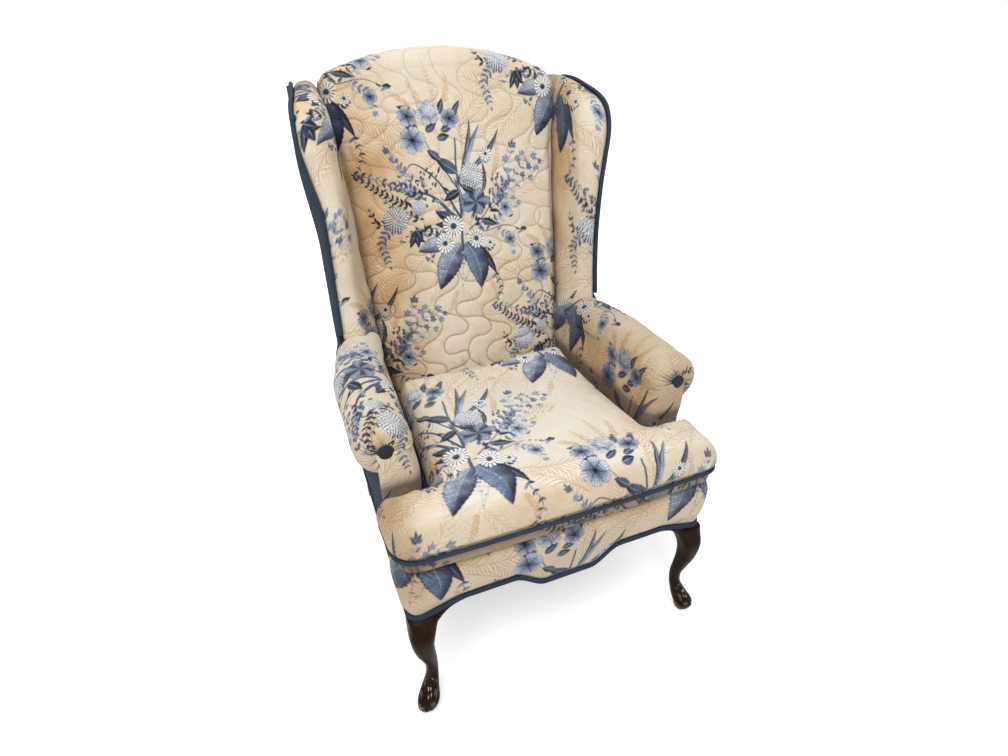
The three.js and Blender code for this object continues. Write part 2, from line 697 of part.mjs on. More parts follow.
// Rolled arm with its inside panel and front facing, grown all round by the given amount
function armBody(grow = 0) {
  const rearEnd = postFront(armTop) - clearance;
  const sides = rollPleats * 2;
  const start = armFrontY;
  const share = (y) => (y - start) / (rearEnd - start);
  const bend = (y) => ease((y - rollBendFrom) / (rearEnd - rollBendFrom));
  const centreX = (y) => mix(rollCentreFront, rollCentreRear, bend(y));
  const radiusAt = (y) => {
    return mix(rollRadius, rollRearRadius, share(y)) + rollSwell * Math.sin(Math.PI * Math.max(0, share(y)));
  };
  const ring = (y, radius, fold = 0) => Array.from({ length: sides }, (_, i) => {
    const angle = (i / sides) * 2 * Math.PI;
    const r = radius + grow - (i % 2) * fold;
    return [centreX(y) + r * Math.cos(angle), y, rollCentreZ + r * Math.sin(angle)];
  });
  const domed = (radius, y, fold) => ring(y, radius, fold).map(([x, , z], i) => {
    return [x, y - grow + (i % 2) * fold, z];
  });
  const rings = [
    domed(buttonRadius * 0.6, start + buttonDish, 0),
    domed(buttonRadius * 1.1, start + buttonDish - 2, pleatDepth),
    domed(rollRadius * 0.5, start + 1, pleatDepth),
    domed(rollRadius * 0.72, start + 1.5, pleatDepth),
    domed(rollRadius - rollRimRadius * 0.3, start + rollRimRadius * 0.32, pleatDepth * 0.7),
    ring(start + rollRimRadius, radiusAt(start + rollRimRadius) - 0.5, pleatDepth * 0.3),
  ];
  for (const t of [0.25, 0.5, 0.75, 0.88, 1]) {
    const y = mix(start + rollRimRadius, rearEnd, t);
    rings.push(ring(y, radiusAt(y)));
  }
  const roll = loft(rings);

  // Inside panel and front facing below the roll, seen in plan
  const outer = sideOuter - 1;
  const plan = [
    [armFaceX(rearEnd) - grow, rearEnd], [armFaceX(60) - grow, 60],
    [armFaceX(postFaceY + 24) - grow, postFaceY + 24],
    [armFaceX(postFaceY) + 2 - grow, postFaceY + 11], [armFaceX(postFaceY) + 10 - grow, postFaceY + 2 - grow],
    [armFaceX(postFaceY) + 24, postFaceY - grow], [outer - 7, postFaceY - grow],
    [outer + grow, postFaceY + 2 - grow], [outer + grow, postFaceY + 8],
    [frameHalfWidth, postFaceY + 8], [frameHalfWidth, rearEnd],
  ];
  const lean = (z) => 3 * ease((z - deckTop) / (rollCentreZ - deckTop));
  const heights = [deckTop + clearance, deckTop + 50, rollCentreZ - 10];
  const slab = loft(heights.map((z) => plan.map(([x, y]) => {
    return [x < armFrameInner ? x + lean(z) : x, y, z];
  })));
  return join(roll, slab);
}

function arms() {
  const rearEnd = postFront(armUnderside) - clearance;
  const postY = postFaceY + 10;
  const railTopZ = armUnderside + armRailHeight;
  const post = block(armFrameInner, frameHalfWidth, postY, postY + armPostDepth,
    railTop + clearance, armUnderside - clearance);
  addPair('arm_post', post, materials.beech);
  const rail = (grow) => block(armFrameInner - grow, frameHalfWidth + armRailOverhang + grow,
    postY - grow, rearEnd + grow * 10, armUnderside - grow * 40, railTopZ + grow);
  const straight = block(armFrameInner, frameHalfWidth + armRailOverhang,
    postY, wingFrontY + 10, armUnderside, railTopZ);
  const narrow = block(armFrameInner, frameHalfWidth, wingFrontY, rearEnd, armUnderside, railTopZ);
  addPair('arm_rail', join(straight, narrow), materials.beech);
  const hollow = block(armFrameInner - clearance, frameHalfWidth + 60, postY - clearance,
    rearEnd + 100, railTop, armUnderside - clearance);
  const tidyRear = block(frameHalfWidth + clearance, frameHalfWidth + 80, postY - clearance,
    rearEnd + 60, armUnderside - 30, armUnderside);
  const behind = behindPosts(0, frameHalfWidth + 80, armTop + 10);
  const inside = [hollow, rail(clearance), tidyRear, wingBoard(clearance)];
  const pad = cut(armBody(), ...inside, behind, ...backZone());
  addPair('arm_pad', pad, materials.floral);

  // Outside panel: below the roll, and up the side of the post behind it
  const bottom = bandTop + clearance;
  const upFrom = postFront(armTop) + clearance;
  const frontEdge = borderEnd + clearance;
  const outline = [
    [frontEdge, bottom], [rearLine(bottom), bottom], [rearLine(armTop), armTop],
    [upFrom, armTop], [upFrom, armUnderside - clearance], [frontEdge, armUnderside - clearance],
  ];
  const panel = prism(outline, 'x', frameHalfWidth + clearance, sideOuter);
  addPair('outside_arm', panel, materials.navy);

  // Covered button: a shank in the dish of the pleats, a rim and a dome
  const seat = armFrontY + buttonDish - 2 - clearance - pleatDepth;
  const dome = [
    [buttonRadius * 0.45, armFrontY + buttonDish - clearance], [buttonRadius, seat], [buttonRadius, seat - 2],
    [buttonRadius * 0.8, seat - 5], [buttonRadius * 0.4, seat - 6.5],
  ];
  const buttonRings = dome.map(([r, y]) => Array.from({ length: 16 }, (_, i) => {
    const angle = (i / 16) * 2 * Math.PI;
    return [rollCentreFront + r * Math.cos(angle), y, rollCentreZ + r * Math.sin(angle)];
  }));
  addPair('arm_button', loft(buttonRings), materials.welt);
}

// Space between the wings and arms, behind the given plane, that the inside back fills
function backSpace(grow, frontAt) {
  const levels = [railTop, ...backWidths.map(([z]) => z), crestHeight + 5];
  return loft(levels.map((z) => {
    const half = backHalf(z) + grow;
    const front = frontAt(z);
    return [[-half, front, z], [half, front, z], [half, rearMost + 50, z], [-half, rearMost + 50, z]];
  }));
}

// Quilted inside back that rolls over the crest
function backBody() {
  const base = deckTop + clearance;
  const columns = channelCount * 2 + 2;
  const rows = 26;
  const station = (i) => {
    const f = mix(-1, 1, i / columns);
    const inner = i > 0 && i < columns;
    const groove = inner && i % 2 === 1 ? channelDepth : 0;
    const x = f * backHalfAtCrest * backSpare;
    const top = crestLine(x);
    const rollZ = top - crestRollRadius;
    const rollY = faceLine(rollZ) + crestRollRadius;
    const ring = [];
    for (let j = 0; j <= rows; j++) {
      const t = j / rows;
      const z = mix(base, rollZ, t);
      const edge = ease(Math.min(1, (1 - Math.abs(f)) * 4));
      const swing = channelSwing * edge * Math.sin(z / 34 + i * 1.7) * ease((1 - t) * 9) * ease(t * 9);
      const crown = backCrown * (1 - f ** 2) * ease((1 - t) * 2.2 + 0.15);
      const side = inner ? 0 : 2;
      const y = faceLine(z) - crown + groove * ease((1 - t) * 6 + 0.2) + side;
      ring.push([f * backHalf(z) * backSpare + swing, y, z]);
    }
    for (const angle of [30, 60, 90]) {
      const a = (angle / 180) * Math.PI;
      const lift = crestRollRadius * Math.sin(a);
      ring.push([x, rollY - crestRollRadius * Math.cos(a), rollZ + lift]);
    }
    const lipZ = top - crestRollDrop;
    const lipY = rearLine(lipZ);
    for (const angle of [45, 80]) {
      const a = (angle / 180) * Math.PI;
      ring.push([x, mix(rollY, lipY, Math.sin(a)), mix(lipZ, top, Math.cos(a))]);
    }
    const underZ = top - crestRailDrop + clearance * 2;
    const rear = (z) => postFront(z) - clearance;
    ring.push([x, lipY, lipZ], [x, postRear(lipZ), lipZ], [x, postRear(underZ), underZ]);
    ring.push([x, rear(underZ), underZ]);
    const kinks = backWidths.slice(0, -1).map(([z]) => z).reverse();
    for (const z of [...kinks, base]) {
      ring.push([f * backHalf(z) * backSpare, rear(z), z]);
    }
    return ring;
  };
  const wide = loft(Array.from({ length: columns + 1 }, (_, i) => station(i)));
  const space = toSolid(backSpace(0, () => -rearMost));
  return toGeometry(toSolid(wide).intersect(space));
}

// What the arms and wings are cut by to stay clear of the inside back
function backZone() {
  const forward = backBody().translate(0, -clearance, 0);
  return [backSpace(clearance, (z) => faceLine(z) - clearance), forward, mirrored(forward)];
}

function backCovers() {
  add('inside_back', backBody(), materials.floral);
  add('outside_back', backPanel(0), materials.navy);
}

// Flat panel that closes the back, its top edge under the roll and the wings
function backPanel(grow) {
  return loft(Array.from({ length: 17 }, (_, i) => {
    const x = mix(-frameHalfWidth - grow, frameHalfWidth + grow, i / 16);
    const top = Math.min(crestLine(x) - crestRollDrop, wingTopZ + 18) - clearance * 2 + grow;
    const bottom = bandTop + clearance;
    const front = panelThickness + grow;
    return [
      [x, rearLine(bottom) + grow * 9, bottom], [x, rearLine(top) + grow * 9, top],
      [x, rearLine(top) - front, top], [x, rearLine(bottom) - front, bottom],
    ];
  }));
}

// Section carried round the front of the seat and back along each side to the arms
function frontSweep(section) {
  const straight = 4;
  const centre = [sideOuter - borderCornerRadius, borderFaceY + borderCornerRadius];
  const path = [];
  for (let i = 0; i < straight; i++) {
    path.push([sideOuter, mix(borderEnd, centre[1], i / straight), 0]);
  }
  for (let i = 0; i <= 5; i++) {
    const angle = (i / 5) * (Math.PI / 2);
    const [c, s] = [Math.cos(angle), Math.sin(angle)];
    path.push([centre[0] + borderCornerRadius * c, centre[1] - borderCornerRadius * s, angle]);
  }
  const half = path.map(([x, y, angle]) => [-x, y, Math.PI - angle]).reverse();
  const spans = 22;
  for (let i = 1; i < spans; i++) {
    path.push([mix(centre[0], -centre[0], i / spans), borderFaceY, Math.PI / 2]);
  }
  return loft([...path, ...half].map(([x, y, angle]) => section(x, y).map(([inward, z]) => {
    return [x - inward * Math.cos(angle), y + inward * Math.sin(angle), z];
  })));
}

function frontBorder() {
  const wall = sidePadding - clearance;
  const bandLine = (x) => borderUnderside(x) + bandHeight;
  const upper = (x, y) => {
    const swell = borderSwell * mix(0.3, 1, ease((borderEnd - y) / 75));
    return [
      [2, bandLine(x) - 2], [-swell * 0.25, bandLine(x) + 10], [-swell * 0.8, deckTop - 78],
      [-swell, deckTop - 42], [-swell * 0.8, deckTop - 20], [-swell * 0.2, deckTop - 7],
      [wall, deckTop - 1], [wall, bandLine(x) - 2],
    ];
  };
  const section = (x) => [
    [-1, borderUnderside(x)], [-1, bandLine(x)], [wall, bandLine(x)], [wall, borderUnderside(x)],
  ];
  const band = frontSweep(section);
  const rolled = frontSweep(upper);
  const post = block(frameHalfWidth - legPostSize, frameHalfWidth + clearance,
    frontRailFace - clearance, legPostRear + clearance, bandUnderside - 5, railTop + clearance);
  const shelfRear = borderFaceY + shelfDepth;
  const shelf = block(-frameHalfWidth, frameHalfWidth, borderFaceY + 12, shelfRear,
    railTop + springWire + 2, deckTop - 1);
  const ears = block(-sideOuter + 8, sideOuter - 8, borderFaceY + 12, shelfRear, deckUnderside, deckTop - 1);
  const bandSpace = band.clone().translate(0, 0, clearance);
  const border = cut(join(rolled, shelf, ears), post, mirrored(post), bandSpace);
  add('front_border', border, materials.floral);

  const frontBand = cut(band, post, mirrored(post));
  add('front_band', frontBand, materials.welt);
  const bandFrom = borderEnd + clearance;
  const bandTo = rearLine(bandUnderside);
  const sideBand = block(frameHalfWidth + clearance, sideOuter + 1, bandFrom, bandTo, bandUnderside, bandTop);
  addPair('side_band', sideBand, materials.welt);
  const rearFrom = Math.max(postRear(bandTop), legLine(bandUnderside)) + clearance;
  const rearBand = block(-frameHalfWidth, frameHalfWidth, rearFrom, rearFrom + 5, bandUnderside, bandTop);
  add('rear_band', rearBand, materials.welt);
}

// Sinuous springs across the rails, with their clips, the padded deck and the dust cover
function seatSupport() {
  const from = frontRailFace + railThickness / 2;
  const to = postRear(railUnderside) - 4 - railThickness / 2;
  const rest = railTop + clearance + springWire / 2;
  const crown = deckUnderside - clearance - springWire / 2 - rest;
  const height = (y) => rest + crown * Math.sin(Math.PI * Math.min(1, Math.max(0, (y - from) / (to - from))));
  const parts = [];
  for (let i = 0; i < springCount; i++) {
    const x = mix(-springSpread, springSpread, i / (springCount - 1));
    const path = [];
    for (let j = 0; j <= springBends; j++) {
      const y = mix(from + 8, to - 8, j / springBends);
      const side = (j % 2 ? 1 : -1) * (springWidth / 2);
      path.push([x + side * 0.8, y - 5, height(y - 5)], [x + side, y + 5, height(y + 5)]);
    }
    const lastSide = springBends % 2 ? 1 : -1;
    path.unshift([x - springWidth * 0.4, from, rest]);
    path.push([x + lastSide * springWidth * 0.4, to, rest]);
    parts.push(tube(path, springWire / 2, 4));
    const clipTop = rest + springWire / 2 + 1;
    for (const [end, sign] of [[from, -1], [to, lastSide]]) {
      const wireX = x + sign * springWidth * 0.4;
      parts.push(block(wireX - 7, wireX + 7, end - 6, end + 5, railTop + clearance, clipTop));
    }
  }
  const tieY = (from + to) / 2;
  const tieEnd = springSpread + springWidth / 2;
  const tieZ = height(tieY) - springWire / 2;
  parts.push(tube([[-tieEnd, tieY, tieZ], [tieEnd, tieY, tieZ]], springWire / 2, 4));
  add('seat_springs', join(...parts), materials.steel);

  const frontEdge = borderFaceY + shelfDepth + clearance;
  const rearEdge = postFront(deckUnderside) - clearance;
  const earBack = postFaceY - clearance;
  const earHalf = frameHalfWidth - 1;
  const bodyHalf = armFrameInner - clearance;
  const deckOutline = [[earHalf, frontEdge], [earHalf, earBack], [bodyHalf, earBack], [bodyHalf, rearEdge]];
  deckOutline.push(...deckOutline.map(([x, y]) => [-x, y]).reverse());
  add('seat_deck', prism(deckOutline, 'z', deckUnderside, deckTop), materials.jute);

  const coverTop = railUnderside - clearance;
  const edgeX = frameHalfWidth - 3;
  const front = frontRailFace + railThickness + clearance;
  const legX = frameHalfWidth - legPostSize - 14;
  const backY = postFront(coverTop) - clearance;
  const rearRail = postRear(railUnderside) - 8;
  const coverOutline = [[legX, front], [legX, legPostRear + 14], [edgeX, legPostRear + 14], [edgeX, backY]];
  coverOutline.push([postInner - 2, backY], [postInner - 2, rearRail]);
  coverOutline.push(...coverOutline.map(([x, y]) => [-x, y]).reverse());
  add('dust_cover', prism(coverOutline, 'z', coverTop - 1, coverTop), materials.cambric);
}

// T-shaped outline of the seat cushion at its welt, as [x, y], from the back right round by the front
function cushionOutline() {
  const gap = cushionWeltRadius + clearance * 2;
  const rear = faceLine(deckTop + cushionWeltHeight) - backCrown - gap;
  const bodyX = (y) => armFaceX(y) - gap;
  const earBack = postFaceY - gap;
  const notch = earBack + notchRadius;
  const ear = cushionEarHalf;
  const front = weltFrontY + cushionBow;
  const points = [];
  const straight = (from, to, steps) => {
    for (let i = 0; i < steps; i++) {
      points.push([mix(from[0], to[0], i / steps), mix(from[1], to[1], i / steps)]);
    }
  };
  const bend = (from, corner, to, steps) => {
    for (let i = 0; i < steps; i++) {
      const t = i / steps;
      points.push([0, 1].map((k) => mix(mix(from[k], corner[k], t), mix(corner[k], to[k], t), t)));
    }
  };
  const backCorner = [bodyX(rear), rear];
  const notchCorner = [bodyX(earBack), earBack];
  const frontCorner = [ear - 4, front];
  const runs = [
    [bodyX(rear) - backCornerRadius, rear], [bodyX(rear - backCornerRadius), rear - backCornerRadius],
    [bodyX(notch), notch], [bodyX(earBack) + notchRadius, earBack],
    [ear - earCornerRadius, earBack], [ear, earBack - earCornerRadius],
    [ear - 3, front + cushionCornerRadius], [ear - cushionCornerRadius, front - 1],
  ];
  straight([0, rear], runs[0], 3);
  bend(runs[0], backCorner, runs[1], 4);
  straight(runs[1], runs[2], 6);
  bend(runs[2], notchCorner, runs[3], 3);
  straight(runs[3], runs[4], 2);
  bend(runs[4], [ear, earBack], runs[5], 4);
  straight(runs[5], runs[6], 2);
  bend(runs[6], frontCorner, runs[7], 5);
  bend(runs[7], [ear / 2, weltFrontY], [0, weltFrontY], 5);
  points.push([0, weltFrontY]);
  const others = points.slice(1, -1).reverse().map(([x, y]) => [-x, y]);
  return [...points, ...others];
}

function seatCushion() {
  const outline = cushionOutline();
  const base = deckTop + clearance;
  const count = outline.length;
  const normals = outline.map((_, i) => {
    const a = outline[(i + count - 1) % count];
    const b = outline[(i + 1) % count];
    const length = Math.hypot(b[0] - a[0], b[1] - a[1]);
    return [-(b[1] - a[1]) / length, (b[0] - a[0]) / length];
  });
  const centre = [0, (armFrontY + weltFrontY) / 2];
  const weltZ = deckTop + cushionWeltHeight;
  const recess = cushionWeltRadius + clearance;
  const freeEdge = (y) => ease((armFrontY - y) / 20);
  const edgeRing = (inset, z, bulge = 0) => outline.map(([x, y], i) => {
    const move = inset - bulge * freeEdge(y);
    return [x - normals[i][0] * move, y - normals[i][1] * move, z];
  });
  const shrunk = (share, lift) => outline.map(([x, y], i) => {
    const start = [x - normals[i][0] * 22, y - normals[i][1] * 22];
    const px = mix(start[0], centre[0], share);
    const py = mix(start[1], centre[1], share);
    return [px, py, cushionTop - 5 + lift];
  });
  const rings = [
    edgeRing(20, base), edgeRing(12, base + 3, 3), edgeRing(recess + 1, base + 13, 0),
    edgeRing(recess, weltZ - cushionWeltRadius), edgeRing(recess, weltZ + cushionWeltRadius),
    edgeRing(recess - 1, weltZ + 12, cushionBulge * 0.5),
    edgeRing(recess + 1, weltZ + 26, cushionBulge * 0.55),
    edgeRing(recess + 7, cushionTop - 20, cushionBulge * 0.5), edgeRing(18, cushionTop - 10, 5),
    shrunk(0.04, -1), shrunk(0.25, cushionCrown * 0.5), shrunk(0.55, cushionCrown * 0.85),
    shrunk(0.8, cushionCrown),
  ];
  add('seat_cushion', loft(rings), materials.floral);
  const welt = outline.map(([x, y]) => [x, y, weltZ]);
  add('cushion_welt', tube(welt, cushionWeltRadius, 6, true), materials.welt);

  // Zip in the rear edge below the welt, with its slider at the left end
  const rear = outline[0][1] - recess;
  const tapeZ = base + 13 + zipHeight / 2;
  const tapeY = rear + clearance;
  const tape = block(-zipLength / 2, zipLength / 2, tapeY, tapeY + zipTapeThickness,
    tapeZ - zipHeight / 2, tapeZ + zipHeight / 2 - 2);
  add('cushion_zip', tape, materials.welt);
  const sliderY = tapeY + zipTapeThickness + clearance;
  const slider = block(-zipLength / 2, -zipLength / 2 + sliderLength, sliderY, sliderY + 3,
    tapeZ - 4, tapeZ + 2);
  add('zip_slider', slider, materials.steel);
}

seatFrame();
frontLegs();
backFrame();
arms();
wings();
backCovers();
frontBorder();
seatSupport();
seatCushion();

export default chair;
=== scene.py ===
# Wingback armchair: floral covers, quilted back, navy panels and welts, dark cabriole legs.
# Lengths are in millimetres until addSurface puts them into a mesh in metres.
# +Z is up, the front faces -Y, and left is towards -X, as the chair is seen from the front.
import math
import bpy
import numpy as np
from mathutils import Matrix, Vector


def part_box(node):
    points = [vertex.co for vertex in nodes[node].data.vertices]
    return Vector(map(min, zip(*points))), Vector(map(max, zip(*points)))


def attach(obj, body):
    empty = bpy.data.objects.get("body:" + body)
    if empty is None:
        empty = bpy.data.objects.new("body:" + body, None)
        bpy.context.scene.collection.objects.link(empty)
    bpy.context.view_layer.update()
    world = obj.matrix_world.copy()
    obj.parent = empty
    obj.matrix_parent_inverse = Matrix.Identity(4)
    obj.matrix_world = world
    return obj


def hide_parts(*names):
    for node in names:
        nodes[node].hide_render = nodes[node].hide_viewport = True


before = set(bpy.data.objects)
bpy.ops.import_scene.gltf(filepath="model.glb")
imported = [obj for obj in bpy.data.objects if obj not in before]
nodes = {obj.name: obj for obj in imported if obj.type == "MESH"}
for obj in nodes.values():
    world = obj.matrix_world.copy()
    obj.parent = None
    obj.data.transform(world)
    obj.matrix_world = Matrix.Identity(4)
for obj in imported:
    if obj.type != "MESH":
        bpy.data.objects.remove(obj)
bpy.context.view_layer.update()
scene = bpy.context.scene
print("frame loaded,", len(nodes), "CAD nodes")

sides = {"right": 1, "left": -1}


# Camera at the photograph's place, angle and lens

camera = dict(
    place=(-0.382, -1.037, 1.142),
    azimuth=-22.86,
    elevation=30.69,
    roll=0.29,
    lens=20.64,
    shift=(-0.0202, 0.0068),
)


def addCamera():
    turn = math.radians(camera["azimuth"])
    rise = math.radians(camera["elevation"])
    back = np.array([math.sin(turn) * math.cos(rise), -math.cos(turn) * math.cos(rise), math.sin(rise)])
    right = np.cross([0, 0, 1], back)
    right /= np.linalg.norm(right)
    up = np.cross(back, right)
    matrix = Matrix([[right[i], up[i], back[i]] for i in range(3)]).to_4x4()
    data = bpy.data.cameras.new("photoCamera")
    data.lens = camera["lens"]
    data.sensor_width = 36
    data.shift_x, data.shift_y = camera["shift"]
    data.clip_start = 0.02
    holder = bpy.data.objects.new("photoCamera", data)
    holder.matrix_world = Matrix.Translation(camera["place"]) @ matrix @ Matrix.Rotation(
        math.radians(-camera["roll"]), 4, "Z")
    scene.collection.objects.link(holder)
    scene.camera = holder


addCamera()
print("camera placed")


# Small helpers on whole arrays

def mix(a, b, t):
    return a + (b - a) * t


def ease(t):  # smooth step from 0 to 1
    s = np.clip(t, 0, 1)
    return s * s * (3 - 2 * s)


def bump(d, width):  # bell shaped, 1 at d = 0
    return np.exp(-(d / width) ** 2)


def unit(v):
    return v / np.maximum(np.linalg.norm(v, axis=-1, keepdims=True), 1e-9)


def wander(u, v, scale, seed, octaves=3):
    # Smooth noise in about -1..1: a few sine waves with turned directions, halved in size each octave.
    pick = np.random.default_rng(seed)
    total = np.zeros(np.broadcast(u, v).shape)
    for octave in range(octaves):
        step = 2 * np.pi * 2 ** octave / scale
        for turn in pick.uniform(0, 2 * np.pi, 5):
            phase = pick.uniform(0, 2 * np.pi)
            stretch = pick.uniform(0.7, 1.3)
            wave = (u * np.cos(turn) + v * np.sin(turn)) * step * stretch
            total += np.sin(wave + phase) * 0.36 / 1.6 ** octave
    return total


def gridNormals(points):  # unit normals: the cross product of the differences along rows and columns
    return unit(np.cross(np.gradient(points, axis=0), np.gradient(points, axis=1)))


def joined(*parts):  # one array of points from the arrays of their coordinates
    return np.stack(np.broadcast_arrays(*parts), axis=-1)


def along(line):  # length run up to each point of a line
    return np.concatenate([[0], np.cumsum(np.linalg.norm(np.diff(line, axis=0), axis=1))])


def resample(line, count, closed=False):
    # Points of a line, spread evenly by length.
    line = np.asarray(line, float)
    if closed:
        line = np.vstack([line, line[:1]])
    length = along(line)
    at = np.linspace(0, length[-1], count + 1 if closed else count)
    out = np.stack([np.interp(at, length, line[:, k]) for k in range(line.shape[1])], axis=1)
    return out[:-1] if closed else out


def spline(points, count):
    # Smooth curve through points: cubic Hermite spans with Catmull-Rom slopes, evenly resampled.
    p = np.asarray(points, float)
    slope = np.gradient(p, axis=0)
    t = np.linspace(0, len(p) - 1, count * 4)
    i = np.minimum(t.astype(int), len(p) - 2)
    f = (t - i)[:, None]
    a, b, da, db = p[i], p[i + 1], slope[i], slope[i + 1]
    curve = (2 * f ** 3 - 3 * f ** 2 + 1) * a + (f ** 3 - 2 * f ** 2 + f) * da
    curve += (-2 * f ** 3 + 3 * f ** 2) * b + (f ** 3 - f ** 2) * db
    return resample(curve, count)


def sampled(grid, row, col):  # bilinear lookup with wrap round
    r0, c0 = np.floor(row).astype(int), np.floor(col).astype(int)
    fr, fc = (row - r0)[..., None], (col - c0)[..., None]
    pick = lambda r, c: grid[r % grid.shape[0], c % grid.shape[1]]
    low = mix(pick(r0, c0), pick(r0, c0 + 1), fc)
    return mix(low, mix(pick(r0 + 1, c0), pick(r0 + 1, c0 + 1), fc), fr)


def addSurface(name, points, colour=None, uv=None, body="chair", wrap=0.0, capped=True):
    # A grid of points as one mesh, rows x columns x 3, with its columns joined round.
    # capped closes the first and last rows with a fan about their middle.
    # wrap: what the second uv coordinate gains, in mm, once round the grid.
    rows, cols = points.shape[:2]
    ends = [0, rows - 1] if capped else []

    def whole(values):  # the grid's values, then their mean at the middle of each fan
        means = [values[row].mean(axis=0)[None] for row in ends]
        return np.vstack([values.reshape(-1, values.shape[-1])] + means)

    verts = whole(points)
    r = np.arange(rows - 1)[:, None]
    c = np.arange(cols)[None, :]
    n = (c + 1) % cols
    faces = joined(r * cols + c, r * cols + n, (r + 1) * cols + n, (r + 1) * cols + c).reshape(-1, 4)
    fans = []
    for i, row in enumerate(ends):
        a, b, middle = row * cols + c[0], row * cols + n[0], np.full(cols, rows * cols + i)
        fans.append(joined(b, a, middle) if row == 0 else joined(a, b, middle))
    corners = np.concatenate([faces.ravel()] + [fan.ravel() for fan in fans])
    sizes = np.concatenate([np.full(len(faces), 4)] + [np.full(len(fan), 3) for fan in fans])
    starts = np.concatenate([[0], np.cumsum(sizes)[:-1]])
    gain = np.zeros((rows - 1, cols, 4))
    gain[:, -1, 1:3] = wrap
    gain = np.concatenate([gain.ravel(), np.zeros(len(corners) - gain.size)])
    quadArea = np.cross(verts[faces[:, 2]] - verts[faces[:, 0]], verts[faces[:, 3]] - verts[faces[:, 1]])
    outwards = np.sum(quadArea * (verts[faces].mean(axis=1) - verts.mean(axis=0)))
    if outwards < 0:
        owner = np.repeat(np.arange(len(sizes)), sizes)
        within = np.arange(len(corners)) - starts[owner]
        order = starts[owner] + sizes[owner] - 1 - within
        corners, gain = corners[order], gain[order]
    mesh = bpy.data.meshes.new(name)
    mesh.vertices.add(len(verts))
    mesh.vertices.foreach_set("co", (verts / 1000).astype(np.float32).ravel())
    mesh.loops.add(len(corners))
    mesh.loops.foreach_set("vertex_index", corners.astype(np.int32))
    mesh.polygons.add(len(sizes))
    mesh.polygons.foreach_set("loop_start", starts.astype(np.int32))
    mesh.polygons.foreach_set("use_smooth", np.full(len(sizes), True))
    mesh.update(calc_edges=True)
    # The colour goes into the attribute "print": the cloth's print with its painted shade, or the legs'
    # painted glints
    if colour is not None:
        rgba = np.ones((len(verts), 4), np.float32)
        rgba[:, :3] = toLinear(whole(colour))
        mesh.color_attributes.new("print", "FLOAT_COLOR", "POINT").data.foreach_set("color", rgba.ravel())
    if uv is not None:
        flat = (whole(uv) / 1000)[corners]
        flat[:, 1] += gain / 1000
        mesh.uv_layers.new(name="cloth").data.foreach_set("uv", flat.astype(np.float32).ravel())
    mesh.validate(clean_customdata=False)
    piece = bpy.data.objects.new(name, mesh)
    scene.collection.objects.link(piece)
    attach(piece, body)
    return piece


def toLinear(colour):  # sRGB to linear light
    c = np.clip(colour, 0, 1)
    return np.where(c <= 0.04045, c / 12.92, ((c + 0.055) / 1.055) ** 2.4)


def tube(path, radius, around=14, closed=False):
    # Grid of a round section carried along a path: centre + radius (side cos a + across sin a).
    path = np.asarray(path, float)
    if closed:
        tangent = unit(np.roll(path, -1, axis=0) - np.roll(path, 1, axis=0))
    else:
        tangent = unit(np.gradient(path, axis=0))
    side = np.zeros_like(path)
    current = np.array([0, 0, 1.0]) if abs(tangent[0][2]) < 0.9 else np.array([0, 1.0, 0])
    for i, t in enumerate(tangent):
        current = current - t * np.dot(current, t)
        current /= np.linalg.norm(current)
        side[i] = current
    across = np.cross(tangent, side)
    angle = np.linspace(0, 2 * np.pi, around, endpoint=False)
    radius = np.broadcast_to(np.asarray(radius, float), (len(path),))[:, None, None]
    ring = side[:, None] * np.cos(angle)[None, :, None] + across[:, None] * np.sin(angle)[None, :, None]
    return path[:, None] + ring * radius


# Printed fabric: one bouquet painted on a tile, with a second one half a repeat across and up

fabric = dict(width=574.0, height=660.0, step=0.7)
ink = dict(
    cream=(0.895, 0.855, 0.785), tan=(0.82, 0.69, 0.52), umber=(0.69, 0.53, 0.36),
    light=(0.935, 0.90, 0.835),
    white=(0.955, 0.95, 0.925), pale=(0.72, 0.77, 0.83), sky=(0.53, 0.60, 0.70),
    slate=(0.355, 0.415, 0.515), navy=(0.20, 0.245, 0.335), night=(0.095, 0.11, 0.16),
)
ink = {name: np.array(colour) for name, colour in ink.items()}
tileCols = round(fabric["width"] / fabric["step"])
tileRows = round(fabric["height"] / fabric["step"])
chance = np.random.default_rng(7)


def hard(x, soft=0.6):  # 0 to 1 over a soft edge at x = 0
    return np.clip(x / soft + 0.5, 0, 1)


def lay(tile, at, reach, draw, turn=0.0):
    # Paints a motif at a place and at its half-drop neighbour; draw gets local x, y in mm
    step = fabric["step"]
    for across, up in ((0, 0), (fabric["width"] / 2, fabric["height"] / 2)):
        cx, cy = at[0] + across, at[1] + up
        span = int(reach / step) + 2
        ix = np.arange(-span, span + 1) + round(cx / step)
        iy = np.arange(-span, span + 1) + round(cy / step)
        x, y = np.meshgrid(ix * step - cx, iy * step - cy)
        c, s = math.cos(turn), math.sin(turn)
        alpha, colour = draw(x * c + y * s, -x * s + y * c)
        where = np.ix_(iy % tileRows, ix % tileCols)
        tile[where] = mix(tile[where], colour, np.clip(alpha, 0, 1)[..., None])


def layAlong(tile, a, b, reach, draw):
    # The same with the local y axis pointing from a to b and y = 0 at a
    turn = math.atan2(b[1] - a[1], b[0] - a[0]) - math.pi / 2
    lay(tile, a, reach, draw, turn)


def shade(low, high, t):
    return mix(ink[low], ink[high], np.clip(t, 0, 1)[..., None])


